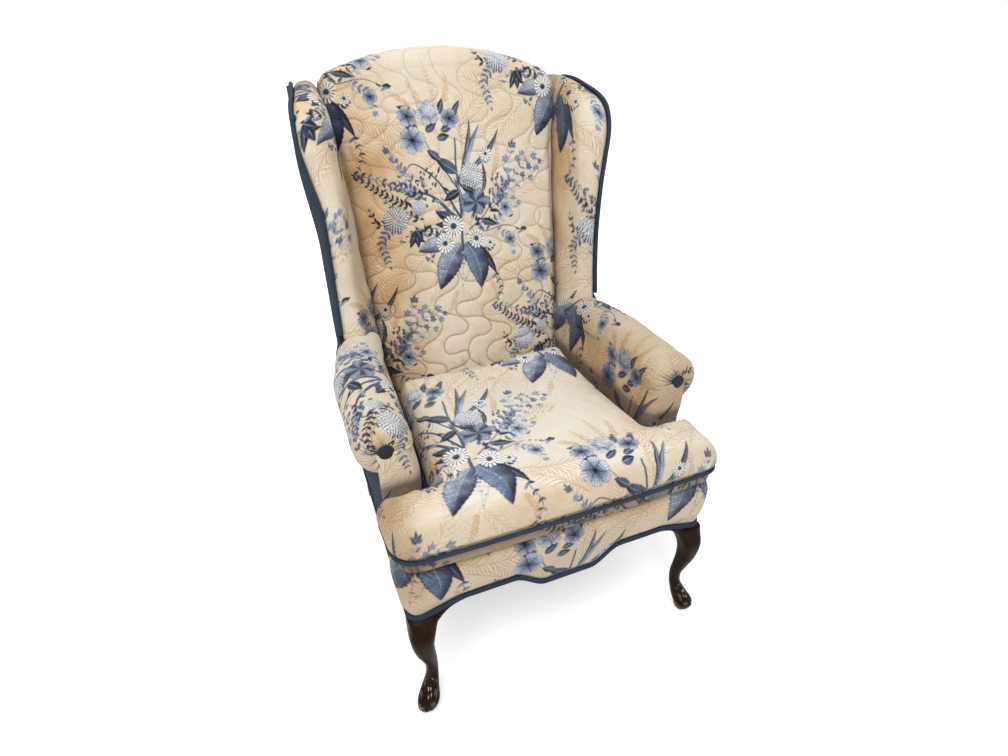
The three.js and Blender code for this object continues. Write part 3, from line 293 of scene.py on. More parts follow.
def leafShape(length, width, dark="navy", light="slate", curve=0.0, veins=9, teeth=0.0, gleam="sky"):
    # Half width W/2 sin(pi t^0.8)^0.85 about a bent midrib, darker on one side, with light veins
    def draw(x, y):
        t = y / length
        inside = np.clip(t, 0, 1)
        middle = curve * length * inside * (1 - inside) * 4
        edge = width / 2 * np.sin(np.pi * inside ** 0.8) ** 0.85 * (1 + 0.7 * teeth * np.sin(inside * 75))
        across = (x - middle) / np.maximum(edge, 0.01)
        alpha = hard(edge - np.abs(x - middle), 0.9) * (t > 0) * (t < 1)
        run = (inside * veins - np.abs(across) * 0.9) % 1
        dabs = 0.5 * wander(x * 0.5, y * 0.5, 17, round(length * 7 + width), 1)
        dabs = dabs + 0.3 * np.sin(run * 9 + x * 0.9)
        tone = 0.6 + 0.34 * across - 0.6 * inside ** 4 + 0.14 * (run - 0.5) + 0.2 * dabs
        vein = bump(run - 0.5, 0.06) * (np.abs(across) < 0.93)
        rib = bump(x - middle, 0.8) * (1 - inside ** 3)
        colour = shade(dark, light, tone)
        vein = np.clip(vein * (0.25 + 0.3 * across + 0.5 * dabs), 0, 0.6)
        colour = mix(colour, ink[gleam], vein[..., None])
        shadow = bump(run - 0.72, 0.09) * np.clip(0.2 - 0.5 * dabs, 0, 1)
        shadow += bump(np.abs(across) - 1, 0.09) * 0.6 + 0.5 * np.clip((inside - 0.62) * 2 - across, 0, 1)
        colour = mix(colour, ink["night"], np.clip(shadow, 0, 0.8)[..., None])
        return alpha, mix(colour, ink["white"], (rib * 0.65)[..., None])
    return draw


def leaf(tile, a, b, width, **look):
    length = math.hypot(b[0] - a[0], b[1] - a[1])
    layAlong(tile, a, b, length * 1.08 + width, leafShape(length, width, **look))


def daisy(tile, at, radius, petals=15, turn=0.0):
    # Petals where |angle cosine| is large, cream with slate gaps, round a dotted dark eye
    def draw(x, y):
        r, a = np.hypot(x, y), np.arctan2(y, x)
        wave = np.abs(np.cos(a * petals / 2))
        rim = radius * (0.80 + 0.2 * wave ** 0.7) * (1 + 0.06 * np.sin(a * 3 + 1))
        alpha = hard(rim - r, 1.0) * hard(wave - 0.16 - 0.25 * (r > radius * 0.55), 0.25)
        shadeIn = np.clip(1 - r / radius, 0, 1)
        colour = mix(ink["white"], ink["sky"], np.clip(0.55 - wave + shadeIn * 0.5, 0, 1)[..., None] * 0.8)
        under = hard(rim * 0.96 - r, 1.5)
        colour = mix(shade("night", "navy", wave), colour, alpha[..., None])
        eye = hard(radius * 0.27 - r, 1.0)
        dots = 0.5 + 0.5 * np.sin(x * 3.1) * np.sin(y * 2.9)
        colour = mix(colour, shade("night", "slate", dots * 0.8 + 0.25 * (y > 0)), eye[..., None])
        return np.maximum(alpha, under * 0.85), colour
    lay(tile, at, radius * 1.2, draw, turn)


def pompom(tile, at, radius, seed=0):
    # Fringed flower: rings of small forked petals, cream tips over slate gaps
    phase = seed * 1.7
    def draw(x, y):
        r, a = np.hypot(x, y), np.arctan2(y, x)
        ragged = radius * (0.93 + 0.07 * np.sin(a * 23 + phase) + 0.04 * np.sin(a * 7))
        alpha = hard(ragged - r, 1.2)
        ring = r / radius * 5.2 + 0.35 * np.sin(a * 5 + phase)
        spokes = np.cos(a * np.round(7 + 5 * np.floor(ring)) + np.floor(ring) * 2.1 + phase)
        within = ring % 1
        tip = np.clip(0.75 + 0.8 * spokes - 0.8 * (1 - within), 0, 1)
        colour = mix(shade("slate", "pale", within), ink["white"], np.clip(tip * 1.5, 0, 1)[..., None])
        low = np.clip((-y - x * 0.4) / radius * 0.7 + (r / radius) ** 4 * 0.3 - 0.1, 0, 0.85)
        return alpha, mix(colour, ink["navy"], (low * (1 - tip * 0.75))[..., None])
    lay(tile, at, radius * 1.1, draw)


def phlox(tile, at, radius, petals=5, turn=0.0, deep=0.0):
    # Broad notched petals with radial veins and a small dark eye
    def draw(x, y):
        r, a = np.hypot(x, y), np.arctan2(y, x)
        lobe = np.abs(np.cos(a * petals / 2))
        notch = bump((a * petals / np.pi + 1) % 2 - 1, 0.22)
        rim = radius * (0.70 + 0.3 * lobe ** 0.55) * (1 - 0.10 * notch)
        alpha = hard(rim - r, 1.0)
        t = r / np.maximum(rim, 1)
        vein = (0.5 + 0.5 * np.cos(a * petals * 5 + 0.5 * np.sin(a * 7))) ** 2
        tone = 0.38 + 0.6 * t - 0.35 * (1 - lobe) + 0.15 * np.sin(a * 2 + turn)
        tone = tone + 0.1 * np.sin(r * 0.9 + a * 3)
        colour = shade("slate", "pale", tone * 1.2 - deep)
        tip = np.clip((t - 0.5) * 1.6 * (1 - deep) * (1 - vein), 0, 0.75)
        colour = mix(colour, ink["white"], tip[..., None])
        colour = mix(colour, ink["navy"], (vein * np.clip(1 - t, 0, 1) ** 0.5 * 0.75)[..., None])
        colour = mix(colour, ink["night"], (bump(lobe, 0.10) * 0.8)[..., None])
        colour = mix(colour, ink["navy"], (bump(r - rim, 0.9) * 0.75)[..., None])
        eye = hard(radius * 0.13 - r, 1.0) + bump(r, radius * 0.28) * 0.55
        return alpha, mix(colour, ink["night"], np.clip(eye, 0, 1)[..., None])
    lay(tile, at, radius * 1.1, draw, turn)


def bloom(tile, at, radius, turn=0.0):
    # Dark ruffled flower: overlapping lobes with light edges and veins
    def draw(x, y):
        y = y * 1.25
        r, a = np.hypot(x, y), np.arctan2(y, x)
        rim = radius * (0.84 + 0.13 * np.cos(a * 5 + 0.6) + 0.05 * np.sin(a * 13))
        alpha = hard(rim - r, 1.0)
        fold = np.sin(a * 5 + 0.6 + 0.05 * r)
        tone = 0.45 + 0.3 * fold + 0.25 * np.cos(a * 26 + r * 0.1) * (r / rim) + 0.35 * (r / rim - 0.5)
        colour = shade("navy", "pale", tone * 0.85)
        crease = bump(fold + 0.75, 0.2) * 0.7 + bump(r - rim * 0.97, 1.3) * 0.5
        colour = mix(colour, ink["night"], np.clip(crease, 0, 0.9)[..., None])
        return alpha, colour
    lay(tile, at, radius * 1.1, draw, turn)


def stroke(tile, points, width, low="navy", high="slate", taper=0.5, strength=1.0):
    # A tapering stem along a smooth curve: darkest below, laid as overlapping round dabs
    line = spline(points, max(6, int(along(points)[-1] / 1.3)))
    count = len(line)
    for i, at in enumerate(line):
        half = width / 2 * mix(1, taper, i / (count - 1))
        def draw(x, y, half=half):
            return hard(half - np.hypot(x, y), 0.7) * strength, shade(low, high, 0.5 + (y - x) / (4 * half))
        lay(tile, at, half + 1.5, draw)


def sprig(tile, points, count, longest, low, high, spread=0.9, width=0.42, stem=1.1, strength=1.0):
    # A stem with pairs of narrow leaflets that shrink towards its tip
    line = spline(points, count)
    stroke(tile, points, stem * 1.5, low, high, 0.5, strength)
    step = np.gradient(line, axis=0)
    for i, at in enumerate(line):
        heading = math.atan2(step[i][1], step[i][0])
        length = longest * mix(1, 0.55, i / max(1, count - 1)) * chance.uniform(0.85, 1.15)
        for side in ((-1, 1) if i < count - 1 else (0,)):
            turn = heading + side * spread * chance.uniform(0.8, 1.2)
            tip = onward(at, length, turn)
            paler = "pale" if high in ("slate", "sky") else high
            inks = (low, high) if chance.uniform() < 0.7 else (high, paler)
            petal(tile, at, tip, length * width, *inks, strength)


def onward(at, length, heading):  # the point a length away from another, under a heading
    return at[0] + length * math.cos(heading), at[1] + length * math.sin(heading)


def petal(tile, a, b, width, low, high, strength=1.0):  # small pointed drop, lighter towards one edge
    length = math.hypot(b[0] - a[0], b[1] - a[1])
    def draw(x, y):
        t = np.clip(y / length, 0, 1)
        edge = width / 2 * np.sin(np.pi * t ** 0.9)
        alpha = hard(edge - np.abs(x), 0.8) * (y > 0) * (y < length)
        return alpha * strength, shade(low, high, 0.45 + x / np.maximum(width, 1) + 0.2 * np.sin(y * 1.3))
    layAlong(tile, a, b, length + width, draw)


def quill(tile, a, b, width, strength):  # leaflet of a frond: light along the middle, tan at one side
    length = math.hypot(b[0] - a[0], b[1] - a[1])
    def draw(x, y):
        t = np.clip(y / length, 0, 1)
        x = x - 0.09 * length * np.sin(np.pi * t)
        edge = width / 2 * np.sin(np.pi * t ** 0.8) ** 0.7
        alpha = hard(edge - np.abs(x), 1.1) * (y > 0) * (y < length)
        side = x / np.maximum(edge, 0.3)
        return alpha * strength, shade("light", "umber", side * 1.6 - 0.25 + 0.5 * (1 - t))
    layAlong(tile, a, b, length + width, draw)


def fern(tile, points, count, longest, strength, spread=0.62):
    # Palm-like frond in the ground: long bent leaflets with light middles
    line = spline(points, round(count * 0.8))
    count = len(line)
    stroke(tile, points, 1.4, "umber", "tan", 0.5, strength)
    step = np.gradient(line, axis=0)
    for i, at in enumerate(line):
        heading = math.atan2(step[i][1], step[i][0])
        length = longest * math.sin(math.pi * mix(0.18, 0.92, i / count)) * chance.uniform(0.85, 1.1)
        for side in (-1, 1):
            turn = heading + side * spread * chance.uniform(0.85, 1.15)
            tip = onward(at, length, turn)
            quill(tile, at, tip, 4.6, strength * chance.uniform(0.7, 1.2))


def maple(tile, at, heading, longest, low, high):  # five pointed lobes fanned about a heading
    for turn, length in ((-1.25, 0.55), (-0.65, 0.85), (0, 1), (0.65, 0.85), (1.25, 0.55)):
        angle = heading + turn + chance.uniform(-0.12, 0.12)
        petal(tile, at, onward(at, longest * length, angle), longest * 0.36, low, high)


def grass(tile, at, tip):  # a tan seed head: short branches of grains up a thin stem
    a, b = np.array(at, float), np.array(tip, float)
    sprig(tile, [a, mix(a, b, 0.5) + [4, 0], b], 11, 13, "umber", "tan", 0.7, 0.3, 0.8, 0.6)


def grains(tile, at, radius, count, low, high):  # scattered berries
    for _ in range(count):
        turn, out = chance.uniform(0, 2 * np.pi), radius * math.sqrt(chance.uniform(0.02, 1))
        place = onward(at, out, turn)
        tip = (place[0] + chance.uniform(-6, 6), place[1] + chance.uniform(4, 9))
        petal(tile, place, tip, chance.uniform(3.5, 5), low, high)


# The bouquet: its motifs in mm from the foot, in the order of painting
bouquet = dict(
    clouds=[  # middle, width, height and depth of the warm clouds in the ground
        (-175, 60, 95, 130, 0.85), (-70, 180, 110, 110, 0.5), (-215, 190, 60, 70, 0.7),
        (-30, 60, 90, 80, 0.55), (60, 20, 70, 50, 0.4), (-120, -60, 80, 60, 0.45),
        (90, -70, 70, 30, 0.3), (150, 110, 60, 50, 0.3), (70, 300, 60, 40, 0.28), (-40, 340, 60, 40, 0.25),
    ],
    fronds=[  # path, leaflets, their length and strength
        ([(20, 240), (60, 300), (125, 345)], 22, 46, 0.6),
        ([(45, 230), (110, 270), (190, 285)], 22, 40, 0.5),
        ([(110, 80), (160, 110), (215, 128)], 20, 38, 0.5),
        ([(60, -40), (130, -62), (215, -60)], 24, 44, 0.6),
        ([(-110, 200), (-150, 235), (-200, 262)], 18, 40, 0.65),
        ([(-150, 110), (-200, 140), (-250, 150)], 18, 42, 0.7),
        ([(-90, -20), (-140, -60), (-180, -110)], 18, 40, 0.55),
        ([(20, 170), (28, 240), (25, 320)], 20, 34, 0.65),
        ([(-120, 20), (-180, 10), (-235, 30)], 18, 40, 0.65),
        ([(150, 150), (200, 215), (215, 275)], 18, 36, 0.4),
        ([(-20, -100), (20, -150), (80, -175)], 18, 32, 0.35),
        ([(-60, 40), (-40, 110), (-55, 190)], 18, 40, 0.6),
    ],
    seedHeads=[
        ((-25, 305), (-42, 385)), ((-60, 300), (-80, 350)), ((-5, 310), (5, 365)),
        ((-85, 300), (-118, 330)),
        ((95, 150), (110, 215)), ((60, -100), (75, -150)), ((-30, -110), (-60, -165)),
    ],
    stems=[  # path, width, light ink, taper
        ([(2, -40), (-2, 0), (4, 90), (4, 167), (10, 233)], 7, "sky", 0.55),
        ([(4, 120), (-22, 165), (-45, 200), (-62, 236)], 3.5, "slate", 0.5),
        ([(0, 60), (-40, 140), (-92, 184), (-122, 160)], 6, "sky", 0.35),
        ([(-12, 62), (-60, 112), (-105, 122), (-135, 98)], 9, "sky", 0.25),
        ([(20, 30), (60, 60), (95, 95), (128, 115)], 3, "slate", 0.5),
        ([(8, 20), (60, 22), (112, 30), (158, 14)], 2.4, "slate", 0.5),
    ],
    straps=[  # foot, tip, width, dark and light ink, veins, bend
        ((12, 150), (50, 275), 12, "navy", "sky", 2, 0.05),
        ((26, 165), (74, 262), 11, "slate", "pale", 2, -0.04),
        ((34, 165), (118, 250), 13, "navy", "slate", 2, 0.10),
        ((62, 110), (68, 178), 10, "night", "navy", 2, 0.08),
        ((8, 60), (-4, 150), 10, "navy", "sky", 2, 0.05),
    ],
    sprays=[  # path, pairs of leaflets, their length, dark and light ink
        ([(95, 95), (130, 150), (150, 212)], 7, 22, "slate", "pale"),
        ([(105, 100), (165, 160), (200, 182)], 7, 22, "slate", "pale"),
        ([(80, 70), (110, 100), (132, 128)], 6, 20, "navy", "slate"),
        ([(100, 80), (150, 120), (190, 135)], 6, 17, "slate", "pale"),
        ([(85, 40), (125, 60), (150, 80)], 6, 18, "slate", "pale"),
        ([(90, 20), (120, 0), (128, -32)], 7, 17, "slate", "pale"),
        ([(-100, 150), (-125, 185), (-150, 222)], 8, 14, "navy", "pale"),
        ([(-95, 120), (-135, 140), (-160, 135)], 7, 19, "navy", "slate"),
        ([(-85, 110), (-120, 150), (-128, 190)], 7, 17, "navy", "sky"),
        ([(-120, 95), (-170, 125), (-226, 168)], 12, 16, "night", "navy"),
        ([(-100, 65), (-150, 95), (-175, 118)], 7, 16, "night", "slate"),
        ([(-150, 70), (-190, 60), (-205, 90)], 7, 17, "night", "navy"),
        ([(-165, 50), (-190, 20), (-180, -34)], 9, 18, "navy", "pale"),
        ([(72, -84), (86, -125), (64, -158)], 6, 13, "navy", "slate"),
        ([(60, -160), (110, -175), (175, -205)], 9, 17, "navy", "sky"),
        ([(20, -30), (5, -70), (-12, -98)], 5, 9, "slate", "pale"),
        ([(-60, 20), (-90, 40), (-128, 30)], 6, 17, "night", "navy"),
        ([(40, 40), (85, 50), (110, 66)], 6, 15, "navy", "slate"),
    ],
    maples=[  # place, heading, length
        (150, 205, 1.4, 19), (134, 178, 2.4, 17), (158, 176, 0.7, 16), (200, 178, 0.5, 18),
        (184, 160, -0.2, 16),
        (206, 158, -0.9, 15), (126, 122, 1.2, 15), (112, 92, 2.0, 14), (188, 132, 0.2, 14),
        (168, 138, 0.9, 14),
        (150, 76, 0.3, 13), (132, 150, 1.6, 14), (-148, 212, 1.9, 14), (-136, 196, 2.8, 12),
        (-128, 176, 0.6, 11), (128, -34, -1.6, 12), (138, 88, 0.9, 12), (172, 186, 1.3, 14),
        (216, 168, 0.1, 12),
    ],
    berries=[  # middle, radius, count, inks
        ((-72, 146), 27, 26, "night", "slate"), ((-85, 100), 25, 18, "night", "navy"),
        ((68, -22), 16, 12, "night", "slate"), ((-82, -26), 16, 12, "navy", "slate"),
        ((98, 130), 20, 14, "navy", "slate"),
    ],
    dabs=74,
    headLeaves=[  # foot, tip, width
        ((-70, 290), (-112, 305), 15), ((-20, 285), (-8, 318), 15), ((0, 268), (26, 296), 16),
        ((-55, 250), (-28, 268), 16), ((-30, 235), (-2, 240), 17), ((-20, 250), (10, 262), 16),
        ((-70, 262), (-100, 262), 15), ((12, 285), (32, 312), 12),
    ],
    middleLeaves=[  # foot, tip, width, dark and light ink, veins
        ((6, 158), (-42, 196), 26, "navy", "slate", 6), ((-30, 190), (-58, 212), 18, "navy", "slate", 4),
        ((5, 120), (-34, 100), 20, "night", "navy", 5), ((0, 48), (-58, 78), 27, "night", "slate", 7),
        ((-5, 40), (-62, 50), 20, "night", "navy", 6), ((12, 130), (45, 112), 18, "night", "navy", 5),
        ((50, 50), (92, 34), 17, "night", "slate", 5), ((-108, 42), (-128, 2), 15, "night", "navy", 4),
        ((-108, 42), (-108, 0), 15, "night", "navy", 4), ((-108, 42), (-96, 14), 15, "night", "navy", 4),
    ],
)


def paintGround(tile):
    wide, tall, step = fabric["width"], fabric["height"], fabric["step"]
    x, y = np.meshgrid(np.arange(tileCols) * step, np.arange(tileRows) * step)
    cloud = np.zeros_like(x)
    for cx, cy, across, up, amount in bouquet["clouds"]:
        for over, above in ((0, 0), (wide / 2, tall / 2)):
            dx = (x - cx - over + wide / 2) % wide - wide / 2
            dy = (y - cy - above + tall / 2) % tall - tall / 2
            cloud = 1 - (1 - cloud) * (1 - amount * np.exp(-(dx / across) ** 2 - (dy / up) ** 2))
    brush = np.sin(x / 7 + 3 * np.sin(y / 31) + y / 13) * np.sin(y / 5 + 2 * np.sin(x / 23))
    tile[:] = mix(tile, ink["tan"], (cloud * (0.75 + 0.25 * brush) * 0.5)[..., None])
    for frond in bouquet["fronds"]:
        fern(tile, *frond)
    for foot, tip in bouquet["seedHeads"]:
        grass(tile, foot, tip)


def leaves(tile, rows):
    for foot, tip, width, dark, light, veins, *bent in rows:
        leaf(tile, foot, tip, width, dark=dark, light=light, veins=veins, curve=bent[0] if bent else 0.0)


def paintSprays(tile):
    for points, width, high, taper in bouquet["stems"]:
        stroke(tile, points, width, "navy", high, taper)
    leaves(tile, bouquet["straps"])
    for spray in bouquet["sprays"]:
        sprig(tile, *spray)
    for across, up, heading, length in bouquet["maples"]:
        inks = (("slate", "pale"), ("navy", "sky"))[chance.integers(0, 2)]
        maple(tile, (across, up), heading, length, *inks)
    for berries in bouquet["berries"]:
        grains(tile, *berries)
    petal(tile, (152, 16), (172, 15), 11, "night", "slate")
    for _ in range(bouquet["dabs"]):
        turn, out = chance.uniform(-0.25, np.pi + 0.25), chance.uniform(28, 150)
        at = (4 + out * math.cos(turn), 34 + 0.92 * out * math.sin(turn))
        heading = turn + chance.uniform(-0.9, 0.9)
        length = chance.uniform(11, 24)
        inks = (("night", "navy"), ("night", "slate"), ("navy", "sky"),
            ("slate", "pale"))[chance.integers(0, 4)]
        petal(tile, at, onward(at, length, heading), length * chance.uniform(0.22, 0.4), *inks)


def paintFlowers(tile):
    for foot, tip, width in bouquet["headLeaves"]:
        leaf(tile, foot, tip, width, dark="night", light="slate", veins=4)
    phlox(tile, (-92, 284), 23, 5, 0.5, 0.15)
    phlox(tile, (4, 276), 22, 5, 1.1, 0.3)
    phlox(tile, (-45, 290), 28, 6, 0.2, -0.15)
    pompom(tile, (-42, 292), 15, 4)
    phlox(tile, (-87, 234), 31, 6, 0.25, 0.05)
    leaves(tile, bouquet["middleLeaves"])
    pompom(tile, (40, 150), 30, 1)
    pompom(tile, (78, 190), 16, 2)
    daisy(tile, (80, 196), 15, 11)
    pompom(tile, (-151, 68), 31, 3)
    pompom(tile, (-95, 90), 18, 5)
    phlox(tile, (116, 72), 20, 5, 0.3, -0.25)
    phlox(tile, (122, -4), 17, 5, 0.9, 0.0)
    bloom(tile, (42, 92), 40, 0.1)


def paintFoot(tile):  # two large leaves, two lesser ones and the daisies
    lesser, large = dict(veins=8, teeth=0.05), dict(veins=9, teeth=0.06)
    leaf(tile, (10, 2), (78, -84), 25, curve=-0.08, dark="night", light="slate", **lesser)
    leaf(tile, (-38, 6), (-110, -8), 36, curve=0.05, dark="slate", light="pale", gleam="white", **lesser)
    leaf(tile, (-6, 2), (-70, -103), 56, curve=0.04, dark="navy", light="pale", gleam="white", **large)
    leaf(tile, (6, 2), (34, -114), 54, curve=-0.11, dark="navy", light="sky", gleam="pale", **large)
    sprig(tile, [(0, -20), (-8, -60), (-14, -96)], 4, 9, "slate", "pale")
    for at, radius, petals, turn in (
            ((68, -6), 13, 11, 0.0), ((34, 8), 22, 15, 0.3), ((-44, 4), 22, 15, 0.0),
            ((-19, 42), 26, 17, 0.2)):
        daisy(tile, at, radius, petals, turn)


def paintTile():
    tile = np.tile(ink["cream"], (tileRows, tileCols, 1))
    paintGround(tile)
    paintSprays(tile)
    paintFlowers(tile)
    paintFoot(tile)
    # Uneven ink: fine grain of the cloth, each value averaged with its neighbours
    grain = chance.normal(size=tile.shape[:2])
    grain = (grain + np.roll(grain, 1, 0) + np.roll(grain, 1, 1) + np.roll(grain, (1, 1), (0, 1))) / 4
    return np.clip(tile * (1 + 0.035 * grain[..., None]), 0, 1)


def printAt(tile, across, up):  # colours of the tile at fabric places in mm
    return sampled(tile, np.asarray(up) / fabric["step"], np.asarray(across) / fabric["step"])


# The chair's driving sizes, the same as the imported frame's

size = dict(
    front=-377.0, rear=377.0, crest=1135.0, crestRadius=655.0,
    borderFace=-347.0, armFront=-232.0, postFace=-225.0, borderEnd=-217.0,
    frameHalf=300.0, sideOuter=313.0, deckTop=385.0,
    bandUnder=256.0, bandTop=269.0, faceRake=0.21, rearRake=0.1656, backThickness=103.0,
    shoulder=1111.0, armTop=599.0, postDepth=40.0, panel=3.0,
)


def rearLine(z):  # rear face of the back, raked
    return size["rear"] - (size["shoulder"] - z) * size["rearRake"]


def postFront(z):
    return rearLine(z) - size["panel"] - 0.3 - size["postDepth"]


def faceLine(z):  # front face of the back at its sides
    return rearLine(469) - size["backThickness"] + (z - 469) * size["faceRake"]


def crestLine(x):  # arched top of the back: an arc
    r = size["crestRadius"]
    return size["crest"] - r + np.sqrt(np.maximum(r ** 2 - x ** 2, 0))


crestEndZ = float(crestLine(256.0)) - 38
wingFront = faceLine(size["armTop"]) - 54
wingTop = float(crestLine(300.0)) + 10


def backHalf(z):  # half width of the back between the wings, by height
    heights = [469, 599, mix(599, 1111, 0.65), crestEndZ]
    return np.interp(z, heights, [215, 226, 239, 256])


# Quilted inside back: a profile up the face, over the rolled crest and down behind it, carried across

back = dict(
    columns=380, faceRows=480, rollRows=34, behindRows=26, crown=15.0, rollRadius=38.0, rollDrop=24.0,
    tuck=31.4, seamRoll=8.0, puff=2.7, groove=1.1, grooveWidth=2.4, spacing=54.0, stitchRun=184.0,
    swing=1.42, reach=36,
)


def insideBack():
    f = np.linspace(-1, 1, back["columns"])[None, :]
    half = backHalf(crestEndZ)
    x = f * half
    top = crestLine(x)
    radius = back["rollRadius"]
    rollZ = top - radius
    rollY = faceLine(rollZ) + radius
    t = np.linspace(0, 1, back["faceRows"])[:, None] ** 0.97
    z = mix(size["deckTop"] + 0.6, rollZ, t)
    crown = back["crown"] * (1 - f ** 2) * ease((1 - t) * 2.2 + 0.15)
    rows = [joined(f * backHalf(z), faceLine(z) - crown, z)]
    a = np.radians(np.linspace(0, 90, back["rollRows"]))[1:, None]
    rows.append(joined(x, rollY - radius * np.cos(a), rollZ + radius * np.sin(a)))
    lipZ = top - back["rollDrop"]
    lipY = rearLine(lipZ)
    a = np.radians(np.linspace(0, 90, back["behindRows"]))[1:, None]
    rows.append(joined(x, mix(rollY, lipY, np.sin(a)), mix(lipZ, top, np.cos(a))))
    points = np.concatenate(rows)
    lengths = np.linalg.norm(np.diff(points, axis=0), axis=-1)
    v = np.concatenate([np.zeros((1, points.shape[1])), np.cumsum(lengths, axis=0)])
    u = points[..., 0]
    normals = gridNormals(points)
    normals *= -np.sign(normals[10, 10, 1])
    lift, stitch = quilting(u, v)
    edge = back["seamRoll"] * bump(1 - np.abs(f), 0.045)
    points = points + normals * (lift * ease((1 - np.abs(f)) * 22))[..., None] - normals * edge[..., None]
    underZ = top - back["tuck"]
    behind = [
        (x, rearLine(lipZ) - 3.3, lipZ - 2), (x, rearLine(underZ) - 3.3, underZ),
        (x, postFront(underZ), underZ), (x * 0.97, postFront(underZ - 60), underZ - 60),
    ]
    low = size["deckTop"] + 0.6
    behind += [(f * backHalf(z), postFront(z) - 0.3, z) for z in (900.0, 700.0, 500.0, low)]
    hidden = [joined(*[np.asarray(k, float) for k in row]) for row in behind]
    points = np.concatenate([points] + hidden)
    below = v[-1:] + 20 * np.arange(1, len(hidden) + 1)[:, None]
    uv = np.stack([np.vstack([u, np.repeat(u[-1:], len(hidden), axis=0)]), np.vstack([v, below])], axis=-1)
    stitch = np.vstack([stitch, np.zeros((len(hidden), stitch.shape[1]))])
    return points, uv, stitch


# Stitch lines side by side, each a meander whose heading swings as A cos(turn) along its own length
def stitchLines():
    s = np.arange(0, 2000, 2.0)
    for i in range(-6, 7):
        turn = 2 * np.pi * s / back["stitchRun"] + 0.9 * i + 1.6 * wander(s * 0.5, 50 * i, 170, 3, 1)
        heading = back["swing"] * (1 + 0.25 * wander(s * 0.5, 60 * i, 150, 6, 1)) * np.cos(turn)
        across, up = 2 * np.cumsum(np.sin(heading)), 2 * np.cumsum(np.cos(heading)) - 60
        drift = np.convolve(across, np.ones(92) / 92, mode="same")
        across = across - drift + back["spacing"] * i + 9 * wander(up, 50 * i, 210, 4, 1)
        line = np.stack([across, up], axis=1)
        yield from resample(line, int(along(line)[-1]))


# Distance to the nearest stitch, stamped on a raster of 1 mm and read at the cloth's places
def quilting(u, v):
    reach, left, low = back["reach"], 280, 20
    away = np.full((920, 2 * left), float(reach))
    for across, up in stitchLines():
        c, r = across + left, up + low
        c0, c1 = int(max(c - reach, 0)), int(min(c + reach + 1, away.shape[1]))
        r0, r1 = int(max(r - reach, 0)), int(min(r + reach + 1, away.shape[0]))
        if c1 > c0 and r1 > r0:
            near = np.hypot(np.arange(c0, c1)[None, :] - c, np.arange(r0, r1)[:, None] - r)
            away[r0:r1, c0:c1] = np.minimum(away[r0:r1, c0:c1], near)
    away = sampled(away[..., None], v + low, u + left)[..., 0]
    puffed = back["puff"] * (1 - np.exp(-away / 10)) - back["groove"] * bump(away, back["grooveWidth"])
    soft = 1 - 0.55 * ease((v - 640) / 60)
    return puffed * soft + 0.5 * wander(u, v, 60, 11, 2), bump(away, 1.3)


# Wings: sections from the root at the post to the rounded edge, swept up the front and over the top

wing = dict(
    steps=330, innerColumns=74, noseColumns=40, panelColumns=40, noseDepth=22.0, innerAtFront=255.0,
    weltRadius=4.0, postDrop=36.0, bow=8.0, corner=0.86, seen=(0.088, 0.95),
)


def wingLevel(t):
    return mix(size["armTop"], wingTop, t)


def wingEdge(count):  # y, z and outer x along the wing's edge
    y = wingFront
    rear = rearLine(wingTop)
    deep = lambda share: mix(y, rear, share)
    points = [
        [y + 2, wingLevel(-0.12), 308], [y, wingLevel(0), 308], [y + 4, wingLevel(0.155), 306],
        [y + 5, wingLevel(0.33), 304], [y - 3, wingLevel(0.56), 304], [y + 3, wingLevel(0.68), 314],
        [deep(0.05), wingLevel(0.81), 324], [deep(0.12), wingLevel(0.895), 323],
        [deep(0.24), wingLevel(0.935), 320],
        [deep(0.45), wingLevel(0.97), 312], [deep(0.68), wingLevel(0.996), 306],
        [deep(0.9), wingTop, 303], [rear, wingLevel(0.99), 303],
    ]
    return centripetal(points, count)


# Curve through points with centripetal spacing, at even steps of the point number
def centripetal(points, count):
    p = np.asarray(points, float)
    p = np.vstack([2 * p[0] - p[1], p, 2 * p[-1] - p[-2]])
    t = np.linspace(0, len(p) - 3, count)
    i = np.minimum(t.astype(int), len(p) - 4)
    w = (t - i)[:, None]
    p0, p1, p2, p3 = p[i], p[i + 1], p[i + 2], p[i + 3]
    gap = lambda a, b: np.maximum(np.linalg.norm(b - a, axis=1, keepdims=True) ** 0.5, 1e-6)
    d1, d2, d3 = gap(p0, p1), gap(p1, p2), gap(p2, p3)
    m1 = (p1 - p0) / d1 - (p2 - p0) / (d1 + d2) + (p2 - p1) / d2
    m2 = (p2 - p1) / d2 - (p3 - p1) / (d2 + d3) + (p3 - p2) / d3
    m1, m2 = m1 * d2, m2 * d2
    w2, w3 = w ** 2, w ** 3
    return (2 * w3 - 3 * w2 + 1) * p1 + (w3 - 2 * w2 + w) * m1 + (-2 * w3 + 3 * w2) * p2 + (w3 - w2) * m2


def wingRoot(t, bottom):
    postTop = wingTop - wing["postDrop"] + 0.3
    corner = wing["corner"]
    z = np.where(t < corner, mix(bottom, postTop, t / corner), postTop)
    s = np.clip((t - corner) / (1 - corner), 0, 1)
    y = np.where(t < corner, postFront(z) - 0.3, mix(postFront(postTop) - 0.3, rearLine(postTop) - 3.3, s))
    return y, z


def wingInner(y, z):
    half = backHalf(z) + 0.3
    t = (faceLine(z) - y) / (faceLine(z) - wingFront)
    return mix(half, wing["innerAtFront"], ease(t * 1.15))


def wingFrame():  # the edge, its root and the way outwards from one to the other, step by step
    edge = wingEdge(wing["steps"])
    t = np.linspace(0, 1, wing["steps"])
    rootY, rootZ = wingRoot(t, edge[0, 1])
    reach = np.hypot(edge[:, 0] - rootY, edge[:, 1] - rootZ)
    return t, edge, rootY, rootZ, reach, (edge[:, 0] - rootY) / reach, (edge[:, 1] - rootZ) / reach


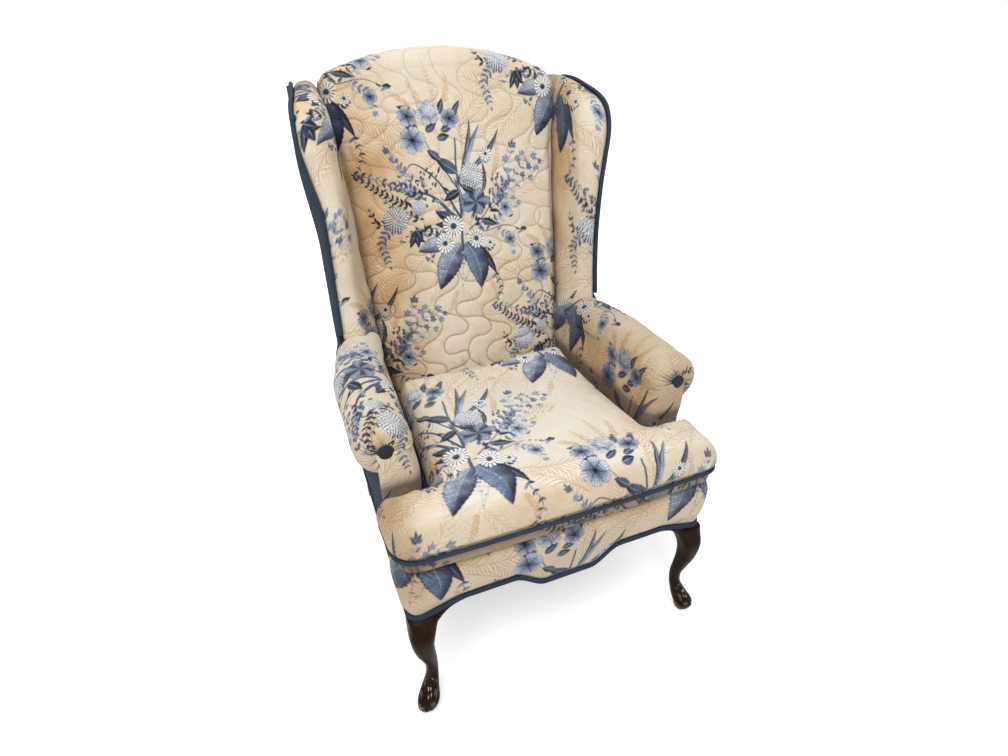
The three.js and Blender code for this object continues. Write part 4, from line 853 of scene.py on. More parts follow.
def wingPad(sx):
    t, edge, rootY, rootZ, reach, outY, outZ = wingFrame()
    nose = np.minimum(wing["noseDepth"], reach * 0.35)
    rise = 8 * ease((t - 0.72) / 0.25)
    outer = edge[:, 2]
    lip = outer - wing["weltRadius"] - 0.3

    def at(s, offset):
        return mix(edge[:, 0], rootY, s) + outY * offset, mix(edge[:, 1], rootZ, s) + outZ * offset

    start = rise - nose
    inner, flat = [], []
    for s in np.linspace(1, 0, wing["innerColumns"]):
        y = mix(edge[:, 0] + outY * start, rootY, s)
        z = mix(edge[:, 1] + outZ * start, rootZ, s)
        inner.append(joined(wingInner(y, z), y, z))
        flat.append(joined(y, z))
    startX = inner[-1][:, 0]
    lipRows = []
    for u in np.linspace(0, 1, wing["noseColumns"])[1:]:
        hump = 1 - np.abs(2 * u - 1) ** 2.4
        setBack = mix(start, -3 - 3 * ease((u - 0.8) / 0.2), ease(u * 1.1))
        y, z = at(0, mix(setBack, 3 + rise * (1 - u) * 0.8, hump))
        lipRows.append(joined(mix(startX, lip, u), y, z))
    run, start = np.zeros_like(outY), flat[-1]
    for a, b in zip([inner[-1]] + lipRows[:-1], lipRows):
        run = run + np.linalg.norm(b - a, axis=1)
        flat.append(start + joined(outY * run, outZ * run))
    hidden = []
    half = size["frameHalf"]
    for s, x in ((0.06, outer - 4.5), (0.5, mix(outer, half, 0.5) - 0.8), (1, 0 * outer + half - 1)):
        y, z = at(s, np.where(s < 0.1, -9.0, 0.0))
        hidden.append(np.stack([x, y, z], axis=-1))
        flat.append(flat[-1])
    points = np.stack(inner + lipRows + hidden, axis=1)
    flat = np.stack(flat, axis=1)
    y, z = flat[..., 0], flat[..., 1]
    soft = 1.1 * wander(y, z, 170, 21, 3) + 1.0 * np.sin((z - 600) / 15 + y / 30) * bump(z - 640, 60)
    column = np.arange(points.shape[1])[None, :]
    pull = ease((column - 4) / 12) * ease((len(inner) + len(lipRows) - 1 - column) / 10)
    points = points + gridNormals(points) * (soft * pull)[..., None]
    points[..., 0] *= sx
    return points, flat


def outsideWing(sx):
    t, edge, _, _, _, outY, outZ = wingFrame()
    keep = (t > wing["seen"][0]) & (t < wing["seen"][1])
    t, edge, outY, outZ = t[keep], edge[keep], outY[keep], outZ[keep]
    z = mix(size["armTop"], wingTop - 8, np.clip((t - 1 / 11) / (9 / 11), 0, 1))
    hem = wing["weltRadius"] - 1.0
    fromY, fromZ = edge[:, 0] - outY * hem, edge[:, 1] - outZ * hem
    rings = []
    for share in np.linspace(0, 1, wing["panelColumns"]):
        crown = wing["bow"] * np.sin(np.pi * share)
        x = mix(edge[:, 2], size["frameHalf"], share) + size["panel"] + 0.3 + crown
        x = x - 2 * bump(share, 0.03) - 2 * bump(1 - share, 0.03)
        rings.append(np.stack([x, mix(fromY, rearLine(z), share), mix(fromZ, z, share)], axis=-1))
    front = np.stack(rings, axis=1)
    behind = front[:, ::-1] - np.array([size["panel"], 0, 0])
    points = np.concatenate([front, behind[:, [0, -1]]], axis=1)
    points[..., 0] *= sx
    return points


# Arms: a roll with a gathered, domed front, an inside panel and a flat front facing

arm = dict(
    around=190, lengthRows=250, frontRows=46, rollRadius=50.0, rearRadius=45.0, swell=6.0,
    centreFront=295.0, centreRear=265.0, rim=24.0, pleats=17, dish=7.0, faceAtFront=238.0, faceAtRear=216.0,
    railCorner=(323.5, 501.5), panelRows=84, sideRows=110, sideColumns=160, sideJoint=0.65, underRoll=502.7,
)
rollCentreZ = size["armTop"] - arm["rollRadius"]
armRear = postFront(size["armTop"]) - 0.3


def armCentre(y):
    return mix(arm["centreFront"], arm["centreRear"], ease(y / armRear))


def armRadius(y):
    share = np.clip((y - size["armFront"]) / (armRear - size["armFront"]), 0, 1)
    return mix(arm["rollRadius"], arm["rearRadius"], share) + arm["swell"] * np.sin(np.pi * share)


def armRoll(sx):
    angle = np.linspace(0, 2 * np.pi, arm["around"], endpoint=False)[None, :]
    start = size["armFront"]
    # Front: from the button's dish out over the rounded rim, as a quarter turn of the rim radius
    r0 = np.linspace(0.05, 1, arm["frontRows"])[:, None]
    flat = arm["rollRadius"] - arm["rim"]
    turn = np.clip((r0 - 0.5) / 0.5, 0, 1) * np.pi / 2
    radius = np.where(r0 < 0.5, flat * r0 / 0.5, flat + arm["rim"] * np.sin(turn))
    depth = np.where(r0 < 0.5, 0, arm["rim"] * (1 - np.cos(turn)))
    dish = arm["dish"] * bump(radius, 15)
    y = start + depth + dish
    radius = radius * armRadius(start + arm["rim"]) / arm["rollRadius"]
    wave = np.cos(angle * arm["pleats"] + 1.4 * np.sin(angle * 3 + sx) + 0.8 * np.sin(angle * 5))
    wave = (1 - np.abs(wave) ** 0.7 * 2) * (0.75 + 0.45 * np.sin(angle * 2 + 1 + sx))
    wave = wave * mix(0.25, 1, ease((np.sin(angle) + 0.9) / 0.7)) * (0.8 + 0.4 * np.sin(angle * 7 + 2 * sx))
    fold = 2.6 * wave * ease((radius - 6) / 9) * ease((62 - radius) / 26)
    middle = armCentre(start)
    front = joined(middle + radius * np.cos(angle), y - fold, rollCentreZ + radius * np.sin(angle))
    down = np.linspace(start + arm["rim"], armRear + 6, arm["lengthRows"])[1:, None]
    fade = 1.1 * wave * ease((start + arm["rim"] + 40 - down) / 40)
    r = armRadius(down) + fade + 0.9 * wander(angle * 50, down, 120, 31, 3)
    # The cover goes round the arm rail's lower corner
    railX, railZ = arm["railCorner"][0] - armCentre(down), arm["railCorner"][1] - rollCentreZ
    toCorner = np.angle(np.exp(1j * (angle - np.arctan2(railZ, railX))))
    reach = np.clip(np.hypot(railX, railZ) - r, 0, None)
    r = r + reach * bump(toCorner, 0.34) * ease((wingFront + 12.5 - down) / 2)
    body = joined(armCentre(down) + r * np.cos(angle), down, rollCentreZ + r * np.sin(angle))
    points = np.concatenate([front, body])
    points[..., 0] *= sx
    # Developed cloth: y goes on over the rim by arc length, and height runs round the roll
    depthRun = np.hypot(np.diff(radius[:, 0]), np.diff((depth + dish)[:, 0]))
    yFlat = np.concatenate([start + arm["rim"] - np.cumsum(depthRun[::-1])[::-1], [start + arm["rim"]],
        down[:, 0]])
    turned = (np.pi - angle) % (2 * np.pi)
    turned = np.where(turned > 1.5 * np.pi, turned - 2 * np.pi, turned)
    flat = joined(yFlat[:, None], rollCentreZ + arm["rollRadius"] * turned)
    # Painted shade: dark navy in the folds of the gathers round the button, mostly below its top
    pleatShade = np.sin(angle * 13 + 2.2 * np.sin(angle * 4 + sx)) * np.sin(angle * 5 + 1.3 + sx)
    pleatShade = pleatShade + 0.35 * np.sin(angle * 31)
    pleatShade = np.clip(pleatShade * 1.5, 0, 1) * bump(radius - 21, 11)
    pleatShade = pleatShade * ease((0.75 - np.sin(angle + 0.5 * sx)) / 0.8)
    pleatShade = np.concatenate([pleatShade, np.zeros((len(down), arm["around"]))])
    return points, flat, pleatShade


def armFaceX(y):
    t = np.clip((y - size["postFace"]) / (faceLine(size["deckTop"]) - size["postFace"]), 0, 1)
    return mix(arm["faceAtFront"], arm["faceAtRear"], t)


def armPanel(sx):
    # Plan of the inside panel and the front facing, round the front corner
    y = size["postFace"]
    outer = size["sideOuter"] - 1
    plan = [[armFaceX(armRear), armRear], [armFaceX(60), 60], [armFaceX(y + 24), y + 24],
            [armFaceX(y) + 2, y + 11], [armFaceX(y) + 10, y + 2], [armFaceX(y) + 24, y],
            [outer - 7, y], [outer, y + 2], [outer, y + 8]]
    plan = np.vstack([resample(plan[:3], 190)[:-1], spline(plan[2:6], 24)[:-1], resample(plan[5:], 40)])
    z = np.linspace(size["deckTop"] + 0.5, rollCentreZ - 1, arm["panelRows"])[:, None]
    under = armCentre(plan[:, 1]) - armRadius(plan[:, 1]) + 1.5
    lean = ease((z - rollCentreZ + 75) / 70) * (under - armFaceX(plan[:, 1]))[None, :]
    x = plan[None, :, 0] + lean * ease((266 - plan[:, 0]) / 18)[None, :]
    flatY = armRear - along(plan) + 0 * z
    puff = 1.3 * wander(flatY, z, 150, 41, 3) * ease((z - size["deckTop"]) / 20)
    x = x - puff * ease((plan[None, :, 1] - size["postFace"] - 12) / 30)
    depth = plan[None, :, 1] - 7.4 * ease((z - 452) / 50) * ease((plan[None, :, 0] - 240) / 14) + 0 * z
    front = joined(x, depth, z)
    backRow = front[:, [-1, 0]].copy()
    backRow[..., 0] = size["frameHalf"]
    backRow[:, 1, 1] = armRear
    points = np.concatenate([front, backRow], axis=1)
    points[..., 0] *= sx
    flat = joined(np.pad(flatY, ((0, 0), (0, 2)), mode="edge"), z)
    return points, flat


def outsideArm(sx):
    # Columns ahead of the wing, up to the joint, stop under the roll, and the others run over it
    s, t = np.linspace(0, 1, arm["sideColumns"])[None, :], np.linspace(0, 1, arm["sideRows"])[:, None]
    joint, yWing = arm["sideJoint"], wingFront + 12
    ahead = mix(size["borderEnd"] + 0.6, yWing, s / joint)
    z = mix(size["bandTop"] - 1.2, np.where(s < joint, arm["underRoll"], size["armTop"] + 3), t)
    yRear = rearLine(z)
    y = np.where(s < joint, ahead, mix(yWing - 9 * ease((z - 540) / 30), yRear, (s - joint) / (1 - joint)))
    overRoll = armCentre(y) + np.sqrt(np.clip((armRadius(y) + 2) ** 2 - (z - rollCentreZ) ** 2, 0, None))
    crown = 1.2 * np.sin(np.pi * s) * np.sin(np.pi * np.clip((z - size["bandTop"]) / 240, 0, 1))
    edge = 2.2 * (bump(s, 0.012) + bump(1 - s, 0.012)) + 1.3 * ease((z - size["armTop"] + 1.5) / 2)
    share = np.clip((y - wingFront) / (yRear - wingFront), 0, 1)
    wingX = mix(308, size["frameHalf"], share) + size["panel"] + 0.3 + wing["bow"] * np.sin(np.pi * share)
    taut = size["sideOuter"] + crown
    behind = mix(taut, wingX, ease((z - 505) / 90))
    # The front corner lies down on the roll
    corner = (1 - ease((y - yWing + 7) / 20)) * ease((z - 555) / 20)
    behind = mix(behind, np.minimum(behind, overRoll - 4), corner)
    greater = 0.5 * (behind + overRoll + np.hypot(behind - overRoll, 2.0))
    front = joined(np.where(s < joint, taut, greater) - edge, y, z)
    inner = front[:, ::-1].copy()[:, [0, -1]]
    inner[..., 0] = size["frameHalf"] + 0.4
    points = np.concatenate([front, inner], axis=1)
    points[..., 0] *= sx
    return points


# Seat cushion: T-shaped outline, swept from under the welt up over the crown to the middle

cushion = dict(
    around=1000, sideRings=64, topRings=110, thickness=93.0, crown=12.0, earHalf=328.0, weltHeight=33.0,
    weltRadius=5.5, cornerRadius=52.0, notchRadius=10.0, backCornerRadius=34.0, earCornerRadius=28.0,
    bow=5.0, bulge=16.0, pipe=4.4, pipeFlat=0.85, sunk=2.0,
)
weltFrontY = size["front"] + cushion["weltRadius"]
weltLevel = size["deckTop"] + cushion["weltHeight"]


def bend(a, corner, b, count):  # quadratic curve from a to b, pulled to the corner
    t = np.linspace(0, 1, count)[:, None]
    a, corner, b = (np.asarray(k, float) for k in (a, corner, b))
    return mix(mix(a, corner, t), mix(corner, b, t), t)


def cushionOutline(count):
    gap = cushion["weltRadius"] + 0.6
    rear = faceLine(weltLevel) - back["crown"] - gap
    bodyX = lambda y: float(armFaceX(y)) - gap
    earBack = size["postFace"] - gap
    notch = earBack + cushion["notchRadius"]
    ear, front = cushion["earHalf"], weltFrontY + cushion["bow"]
    backR, earR, cornerR = cushion["backCornerRadius"], cushion["earCornerRadius"], cushion["cornerRadius"]
    runs = [
        [[0, rear]],
        bend([bodyX(rear) - backR, rear], [bodyX(rear), rear], [bodyX(rear - backR), rear - backR], 16),
        bend([bodyX(notch), notch], [bodyX(earBack), earBack],
             [bodyX(earBack) + cushion["notchRadius"], earBack], 10),
        bend([ear - earR, earBack], [ear, earBack], [ear, earBack - earR], 14),
        bend([ear - 3, front + cornerR], [ear - 4, front], [ear - cornerR, front - 1], 18),
        bend([ear - cornerR, front - 1], [ear / 2, weltFrontY], [0, weltFrontY], 24)[1:],
    ]
    half = np.vstack([np.asarray(run, float) for run in runs])
    whole = np.vstack([half, half[::-1][1:-1] * [-1, 1]])
    return resample(whole, count, closed=True)


def outlineNormals(outline, middle):  # unit normals of a closed outline in plan, away from its middle
    step = np.roll(outline, -1, axis=0) - np.roll(outline, 1, axis=0)
    return awayFrom(step, outline, middle)


def awayFrom(step, path, middle):
    normals = unit(np.stack([-step[:, 1], step[:, 0]], axis=1))
    return normals * np.sign(np.sum(normals * (path - middle)))


def cushionRings():
    # Inset, height and bulge of the section, from the underside to where the crown starts
    recess = cushion["weltRadius"] + 0.3
    base, top = size["deckTop"] + 0.4, size["deckTop"] + cushion["thickness"]
    b = cushion["bulge"]
    return [
        [20, base, 0], [12, base + 3, 3], [recess + 1, base + 13, 0], [recess + 1, weltLevel - 5.5, 0],
        [recess + 2.5, weltLevel, 0], [recess + 1, weltLevel + 5.5, 0],
        [recess - 1, weltLevel + 12, b * 0.5], [recess + 1, weltLevel + 26, b * 0.55],
        [recess + 7, top - 20, b * 0.5], [18, top - 10, 5], [26, top - 5.5, 0],
    ]


def seatCushion():
    outline = cushionOutline(cushion["around"])
    normals = outlineNormals(outline, [0, -200])
    freeEdge = ease((size["armFront"] - outline[:, 1]) / 20)
    section = spline(cushionRings(), cushion["sideRings"])
    rings = []
    for inset, z, swell in section:
        move = inset - swell * freeEdge
        flat = outline - normals * move[:, None]
        rings.append(np.column_stack([flat, np.full(len(flat), z)]))
    start = outline - normals * section[-1][0]
    centre = np.array([0, (size["armFront"] + weltFrontY) / 2])
    top = size["deckTop"] + cushion["thickness"] - 5
    for share in np.linspace(0, 1, cushion["topRings"] + 2)[1:-1]:
        flat = mix(start, centre, share)
        rise = np.interp(share, [0, 0.04, 0.25, 0.55, 0.8, 1], [0, 0.1, 0.5, 0.85, 1, 1]) * cushion["crown"]
        rings.append(np.column_stack([flat, np.full(len(flat), top - 0.5 + rise)]))
    points = np.array(rings)
    flat = points[..., :2].copy()
    run = np.cumsum(np.linalg.norm(np.diff(points[:len(section)], axis=0), axis=-1)[::-1], axis=0)[::-1]
    flat[:len(section) - 1] = start + normals * run[..., None]
    points = plumped(points, weltLevel + 8)
    above = ease((points[..., 2] - weltLevel - 5) / 30)
    points[..., 2] += (12 + 13 * ease(points[..., 0] / 150)) * ease((points[..., 1] + 60) / 240) * above
    points[..., 2] += creases(flat[..., 0], flat[..., 1]) * ease((points[..., 2] - 440) / 25)
    return points, outline - normals * cushion["sunk"], flat


# Filling: a coarse copy is blown out as cloth, held below the welt, and its moves, capped, go back
filling = dict(
    everyRow=4, everyColumn=8, pressure=4.0, frames=20, cap=5.0, sideways=0.25, quality=6, mass=0.3,
    tension=18.0, bending=0.6,
)


def plumped(points, heldTo):
    rows, cols = points.shape[:2]
    r = np.unique(np.append(np.arange(0, rows, filling["everyRow"]), rows - 1))
    c = np.arange(0, cols, filling["everyColumn"])
    rest = points[np.ix_(r, c)] / 1000
    verts = np.vstack([rest.reshape(-1, 3), rest[0].mean(axis=0)[None], rest[-1].mean(axis=0)[None]])
    i, j = np.arange(len(r) - 1)[:, None] * len(c), np.arange(len(c))[None, :]
    k = (j + 1) % len(c)
    faces = np.stack([i + j, i + k, i + len(c) + k, i + len(c) + j], axis=-1).reshape(-1, 4).tolist()
    last = (len(r) - 1) * len(c)
    faces += np.column_stack([k[0], j[0], np.full(len(c), len(verts) - 2)]).tolist()
    faces += np.column_stack([last + j[0], last + k[0], np.full(len(c), len(verts) - 1)]).tolist()
    mesh = bpy.data.meshes.new("filling")
    mesh.from_pydata(verts.tolist(), [], faces)
    holder = bpy.data.objects.new("filling", mesh)
    scene.collection.objects.link(holder)
    if np.sum((verts[faces[0][0]] - verts.mean(axis=0)) * np.array(mesh.polygons[0].normal)) < 0:
        mesh.flip_normals()
    held = holder.vertex_groups.new(name="held")
    held.add(np.flatnonzero(verts[:, 2] * 1000 < heldTo).tolist(), 1.0, "REPLACE")
    cloth = holder.modifiers.new("cloth", "CLOTH")
    cloth.settings.quality = filling["quality"]
    cloth.settings.mass = filling["mass"]
    cloth.settings.tension_stiffness = cloth.settings.compression_stiffness = filling["tension"]
    cloth.settings.bending_stiffness = filling["bending"]
    cloth.settings.use_pressure = True
    cloth.settings.uniform_pressure_force = filling["pressure"]
    cloth.settings.effector_weights.gravity = 0
    cloth.settings.vertex_group_mass = "held"
    cloth.collision_settings.use_collision = False
    cloth.point_cache.frame_start, cloth.point_cache.frame_end = 1, filling["frames"]
    for frameNumber in range(1, filling["frames"] + 1):
        scene.frame_set(frameNumber)
    blown = np.empty(len(verts) * 3, np.float32)
    shaped = holder.evaluated_get(bpy.context.evaluated_depsgraph_get())
    shaped.data.vertices.foreach_get("co", blown)
    scene.frame_set(1)
    bpy.data.objects.remove(holder)
    bpy.data.meshes.remove(mesh)
    move = (blown.reshape(-1, 3) - verts)[:-2].reshape(rest.shape) * 1000
    length = np.linalg.norm(move, axis=-1, keepdims=True)
    print("filling moved by up to", round(float(length.max()), 1), "mm before its cap")
    move *= np.tanh(length / filling["cap"]) * filling["cap"] / np.maximum(length, 1e-6)
    overRows = np.stack([np.interp(np.arange(rows), r, e) for e in np.eye(len(r))], axis=1)
    overCols = np.stack([np.interp(np.arange(cols), c, e, period=cols) for e in np.eye(len(c))], axis=1)
    move = np.einsum("ai,ijk,bj->abk", overRows, move, overCols)
    move[..., :2] *= mix(filling["sideways"], 1, ease((size["armFront"] - points[..., 1:2]) / 20))
    return points + move


# Pull creases: spokes round each inner corner of the T, arcs round the ears and straight ones at the front
def creases(x, y):
    lift = 0.9 * wander(x, y, 190, 51, 3)
    for sx, amount in ((-1, 1.0), (1, 0.5)):
        dx, dy = x - sx * 236, y + 236
        r, a = np.hypot(dx, dy), np.arctan2(dy, dx * sx)
        spokes = np.cos(a * 11 + 0.8 * np.sin(a * 4 + sx) + 0.012 * r)
        lift = lift + amount * 1.9 * spokes * bump(r - 38, 30) * ease((1.2 - a) / 0.8)
        arcs = np.sin(np.hypot(x - sx * 250, (y + 300) * 1.2) / 6.2 + 1.2 * np.sin(a))
        lift = lift + amount * 1.0 * arcs * bump(np.hypot(x - sx * 305, y + 300) - 10, 42)
    lines = np.abs(np.sin(x / 14.5 + 0.9 * np.sin(x / 37) + 0.35 * np.sin(y / 30))) ** 0.6 - 0.6
    return lift + 1.5 * lines * bump(y + 350, 48) * (0.6 + 0.6 * np.sin(x / 61 + 1))


# Front border: section carried round the front of the seat and back along the sides to the arms

border = dict(
    around=470, rows=66, cornerRadius=26.0, swell=12.0, inside=12.7, bandHeight=13.0, bandRise=23.0,
    lobeDrop=35.0, lobeHalf=48.0, lobeBlend=66.0,
)


def borderUnderside(x):
    away = np.abs(x)
    inward = size["sideOuter"] - away
    rise = border["bandRise"] * mix(np.clip((inward - 12) / 95, 0, 1), ease(inward / 110), 0.5)
    lobe = 1 - ease((away - border["lobeHalf"]) / border["lobeBlend"])
    return size["bandUnder"] + rise - border["lobeDrop"] * lobe


def sweepPath(count):
    r = border["cornerRadius"]
    outer, front = size["sideOuter"], size["borderFace"]
    a = np.linspace(0, np.pi / 2, 20)
    corner = np.stack([outer - r + r * np.cos(a), front + r - r * np.sin(a)], axis=1)
    half = np.vstack([[[outer, size["borderEnd"]]], corner])
    path = resample(np.vstack([half, half[::-1] * [-1, 1]]), count)
    return path, awayFrom(np.gradient(path, axis=0), path, [0, -100])


def frontBorder():
    path, normals = sweepPath(border["around"])
    x, y = path[:, 0], path[:, 1]
    under = borderUnderside(x) + border["bandHeight"]
    swell = border["swell"] * mix(0.3, 1, ease((size["borderEnd"] - y) / 75))
    top, inside = size["deckTop"], border["inside"]
    stations = [  # inwards and height, from the hem up
        (2, under - 2), (-swell * 0.25, under + 10), (-swell * 0.8, top - 78), (-swell, top - 42),
        (-swell * 0.8, top - 20), (-swell * 0.2, top - 7), (8, top - 2), (inside, top - 1.5),
    ]
    section = np.stack([joined(inward + 0 * x, height) for inward, height in stations])
    rows = np.stack([spline(section[:, i], border["rows"]) for i in range(len(x))], axis=1)
    points = np.empty(rows.shape[:2] + (3,))
    points[..., 0] = x - normals[:, 0] * rows[..., 0]
    points[..., 1] = y - normals[:, 1] * rows[..., 0]
    points[..., 2] = rows[..., 1]
    inner = path - normals * inside
    behind = np.stack([joined(inner[:, 0], inner[:, 1], height) for height in (top - 4, under)])
    run = along(path)
    run = (run - run[-1] / 2) * np.sign(x[-1] - x[0])
    flat = joined(run[None, :], rows[..., 1])
    sag = 1.0 * wander(flat[..., 0], flat[..., 1], 150, 61, 3)
    sag += 0.7 * np.sin(flat[..., 0] / 15 + flat[..., 1] / 40) * bump(flat[..., 1] - 372, 16)
    points[..., :2] += normals[None] * (sag * ease((rows[..., 1] - under - 4) / 14))[..., None]
    points, flat = np.concatenate([points, behind]), np.concatenate([flat, flat[[-1, 0]]])
    return points.transpose(1, 0, 2), flat.transpose(1, 0, 2)


# Flat band with rounded edges, carried along a path: a squared-off ellipse as its section
band = dict(around=24, depth=5.2, power=0.6, sunk=1.6, steps=160, rearSteps=200)


def bandAlong(path, normals, low):
    height, depth, around = border["bandHeight"], band["depth"], band["around"]
    a = np.linspace(0, 2 * np.pi, around, endpoint=False)[:, None]
    out = np.sign(np.cos(a)) * np.abs(np.cos(a)) ** band["power"] * depth / 2 + depth / 2 - band["sunk"]
    up = np.sign(np.sin(a)) * np.abs(np.sin(a)) ** band["power"] * (height / 2 - 0.1)
    points = np.empty((around, len(path), 3))
    points[..., 0] = path[:, 0] + normals[:, 0] * out
    points[..., 1] = path[:, 1] + normals[:, 1] * out
    points[..., 2] = low + height / 2 + up
    return points.transpose(1, 0, 2)


def bandFront():
    path, normals = sweepPath(420)
    return bandAlong(path, normals, borderUnderside(path[:, 0]))


def bandSide(sx):
    y = np.linspace(size["borderEnd"] + 0.6, rearLine(size["bandUnder"]) - 0.5, band["steps"])
    path = np.column_stack([np.full_like(y, size["sideOuter"]), y])
    points = bandAlong(path, np.tile([1.0, 0.0], (len(y), 1)), size["bandUnder"])
    points[..., 0] *= sx
    return points


def bandRear():
    low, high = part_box("rear_band")
    x = np.linspace(low[0] * 1000 + 0.2, high[0] * 1000 - 0.2, band["rearSteps"])
    path = np.column_stack([x, np.full_like(x, high[1] * 1000 - 2.4)])
    return bandAlong(path, np.tile([0.0, 1.0], (len(x), 1)), size["bandUnder"])


# Outside back: taut panel with a slight crown, tucked under at its edges
outside = dict(columns=180, rows=190, crown=3.0, tuck=2.2)


def backPanel():
    f = np.linspace(-1, 1, outside["columns"])[None, :]
    s = np.linspace(0, 1, outside["rows"])[:, None]
    x = f * (size["frameHalf"] - 0.5)
    z = mix(size["bandTop"] - 1.2, crestLine(x) - back["rollDrop"] - 1, s)
    edge = bump(1 - np.abs(f), 0.012) + bump(1 - s, 0.008)
    crown = outside["crown"] * (1 - f ** 2) * np.sin(np.pi * s) ** 0.7 + 0.5 * wander(x, z, 260, 71, 2)
    y = rearLine(z) + crown - outside["tuck"] * np.minimum(edge, 1)
    outer = joined(x, y, z)
    inner = outer[:, ::-1][:, [0, -1]].copy()
    inner[..., 1] = rearLine(inner[..., 2]) - size["panel"]
    flat = joined(x, z)
    return np.concatenate([outer, inner], axis=1), np.concatenate([flat, flat[:, [-1, 0]]], axis=1)


# Covered button: a dome turned about the arm's axis, with its cloth drawn in under the rim
button = dict(radius=15.0, dome=5.6, rings=20, around=48)


def coveredButton(sx):
    t = np.linspace(0, 1, button["rings"])[:, None]
    a = np.linspace(0, 2 * np.pi, button["around"], endpoint=False)[None, :]
    r = button["radius"] * np.sin(mix(0.02, 0.72, t) * np.pi) ** 0.8
    depth = button["dome"] * (1 - np.cos(mix(0.0, 1, t) * np.pi)) / 2
    y = size["armFront"] + arm["dish"] - 9.8 + depth * 1.5
    x = armCentre(size["armFront"]) + r * np.cos(a)
    points = joined(x, y + 0 * a, rollCentreZ + r * np.sin(a))
    points[..., 0] *= sx
    flat = np.stack([r * np.cos(a), r * np.sin(a)], axis=-1)
    return points, flat


# Deck under the cushion: a T-shaped pad of plain cloth, with a seam across behind the front edge
deck = dict(thickness=34.5, edge=9.0, around=420, rings=40, seam=-255.0)


def seatDeck():
    low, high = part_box("seat_deck")
    front, rear = low[1] * 1000 + 0.3, high[1] * 1000 - 0.3
    ear, half = high[0] * 1000 - 0.4, size["frameHalf"] - 30.7
    notch = size["postFace"] - 0.6
    shape = [[ear, front], [ear, notch], [half, notch], [half, rear]]
    shape = np.array(shape + [[-x, y] for x, y in shape[::-1]], float)
    outline = resample(shape, deck["around"], closed=True)
    centre = np.array([0.0, (front + rear) / 2])
    top = size["deckTop"] - 0.3
    rings = [np.column_stack([outline * 0.999, np.full(len(outline), top - deck["thickness"])])]
    for turn in np.linspace(0, np.pi / 2, 9):
        inset = deck["edge"] * (1 - np.cos(turn))
        flat = outline * (1 - inset / np.maximum(np.linalg.norm(outline, axis=1), 1))[:, None]
        rings.append(np.column_stack([flat,
            np.full(len(flat), top - deck["edge"] * (1 - np.sin(turn)) - 1.2)]))
    start = rings[-1][:, :2]
    for share in np.linspace(0, 1, deck["rings"])[1:-1]:
        flat = mix(start, centre, share)
        lift = 1.1 * ease(share * 3) + 0.35 * wander(flat[:, 0], flat[:, 1], 160, 81, 2)
        seam = 2.2 * bump(flat[:, 1] - deck["seam"], 4)
        rings.append(np.column_stack([flat, top - 1.2 + lift - seam]))
    points = np.array(rings)
    return points, points[..., :2].copy()


# Cabriole front legs: rounded square rings up a curve, with three carved toes at the foot

leg = dict(rows=340, around=150, postCentre=(278.0, -312.0), ankle=12.2, knee=29.0, foot=21.0)


def frontLeg(sx):
    ankle, knee, foot = leg["ankle"], leg["knee"], leg["foot"]
    top = size["bandUnder"] - 0.3
    stations = [
        [3.3, 26, -34, foot * 0.62, 2.1, 0.02], [10, 26, -35, foot * 0.8, 2.2, 0.05],
        [22, 25, -39, foot * 0.92, 2.2, 0.07], [36, 21, -38, foot * 0.98, 2.2, 0.06],
        [56, 14, -29, foot * 0.8, 2.2, 0.02], [84, 6, -21.5, ankle, 2.1, 0], [112, 5, -20, ankle, 2.2, 0],
        [140, 9, -25, mix(ankle, knee, 0.16), 2.4, 0], [166, 14, -29.5, mix(ankle, knee, 0.34), 2.6, 0],
        [192, 17, -31, mix(ankle, knee, 0.5), 2.8, 0], [216, 16, -29, mix(ankle, knee, 0.69), 3, 0],
        [238, 12, -20, mix(ankle, knee, 0.85), 3.8, 0], [top, 8, -13, knee, 5, 0],
    ]
    rows = spline(stations, leg["rows"])
    angle = np.linspace(0, 2 * np.pi, leg["around"], endpoint=False)[None, :]
    z, outX, outY, half, power, toes = (rows[:, k][:, None] for k in range(6))
    c, s = np.cos(angle), np.sin(angle)
    square = (np.abs(c) ** power + np.abs(s) ** power) ** (-1 / power)
    ahead = (angle + np.pi / 3 + np.pi) % (2 * np.pi) - np.pi  # 0 where the foot points, forwards and out
    # Carving: a leaf's outline from the ankle to the toe, two veins in it and a scroll across its foot
    t = np.clip((z - 17) / 66, 0, 1)
    wide = 0.98 * np.sin(np.pi * (1 - t) ** 0.62) ** 0.75 * (z > 17) * (z < 83)
    veins = [np.abs(ahead - 0.34 * np.sin(z / 11) - 0.08) + 5 * (z > 66),
        np.abs(ahead + 0.42 * (1 - t)) + 5 * (z > 60)]
    away = np.minimum(np.minimum(np.abs(np.abs(ahead) - wide), veins[0]), veins[1]) * half
    away = np.minimum(away, np.abs(z - 21 - 5 * np.cos(ahead * 3)) + 50 * (np.abs(ahead) > 0.95))
    within = ease((z - 12) / 5) * ease((86 - z) / 8)
    groove, ridge = bump(away, 1.3) * within, bump(away - 2.2, 1.1) * within
    toe = 1 - 0.085 * groove + 0.035 * ridge + toes * 0.3
    sole = 1 - 0.05 * bump(z - 10, 2.0) * (z < 40)
    # Painted highlight: pale glints along the carved ridges, on the front of the foot
    glint = ridge * (0.15 + 0.85 * ease(wander(ahead * 20, z, 24, 77, 2) + 0.4)) * bump(ahead, 1.3)
    x = leg["postCentre"][0] + outX + half * c * square * toe * sole
    y = leg["postCentre"][1] + outY + half * s * square * toe * sole
    points = joined(x, y, z)
    points[..., 0] *= sx
    return points, glint[..., None] * np.ones(3)


# Knee bracket: a rounded bar along the border's lower edge that thins away from the knee
bracket = dict(
    steps=60, around=28, far=222.0, near=273.0, front=-348.5, depth=23.0, drop=42.0, power=2.2, end=1.6,
)


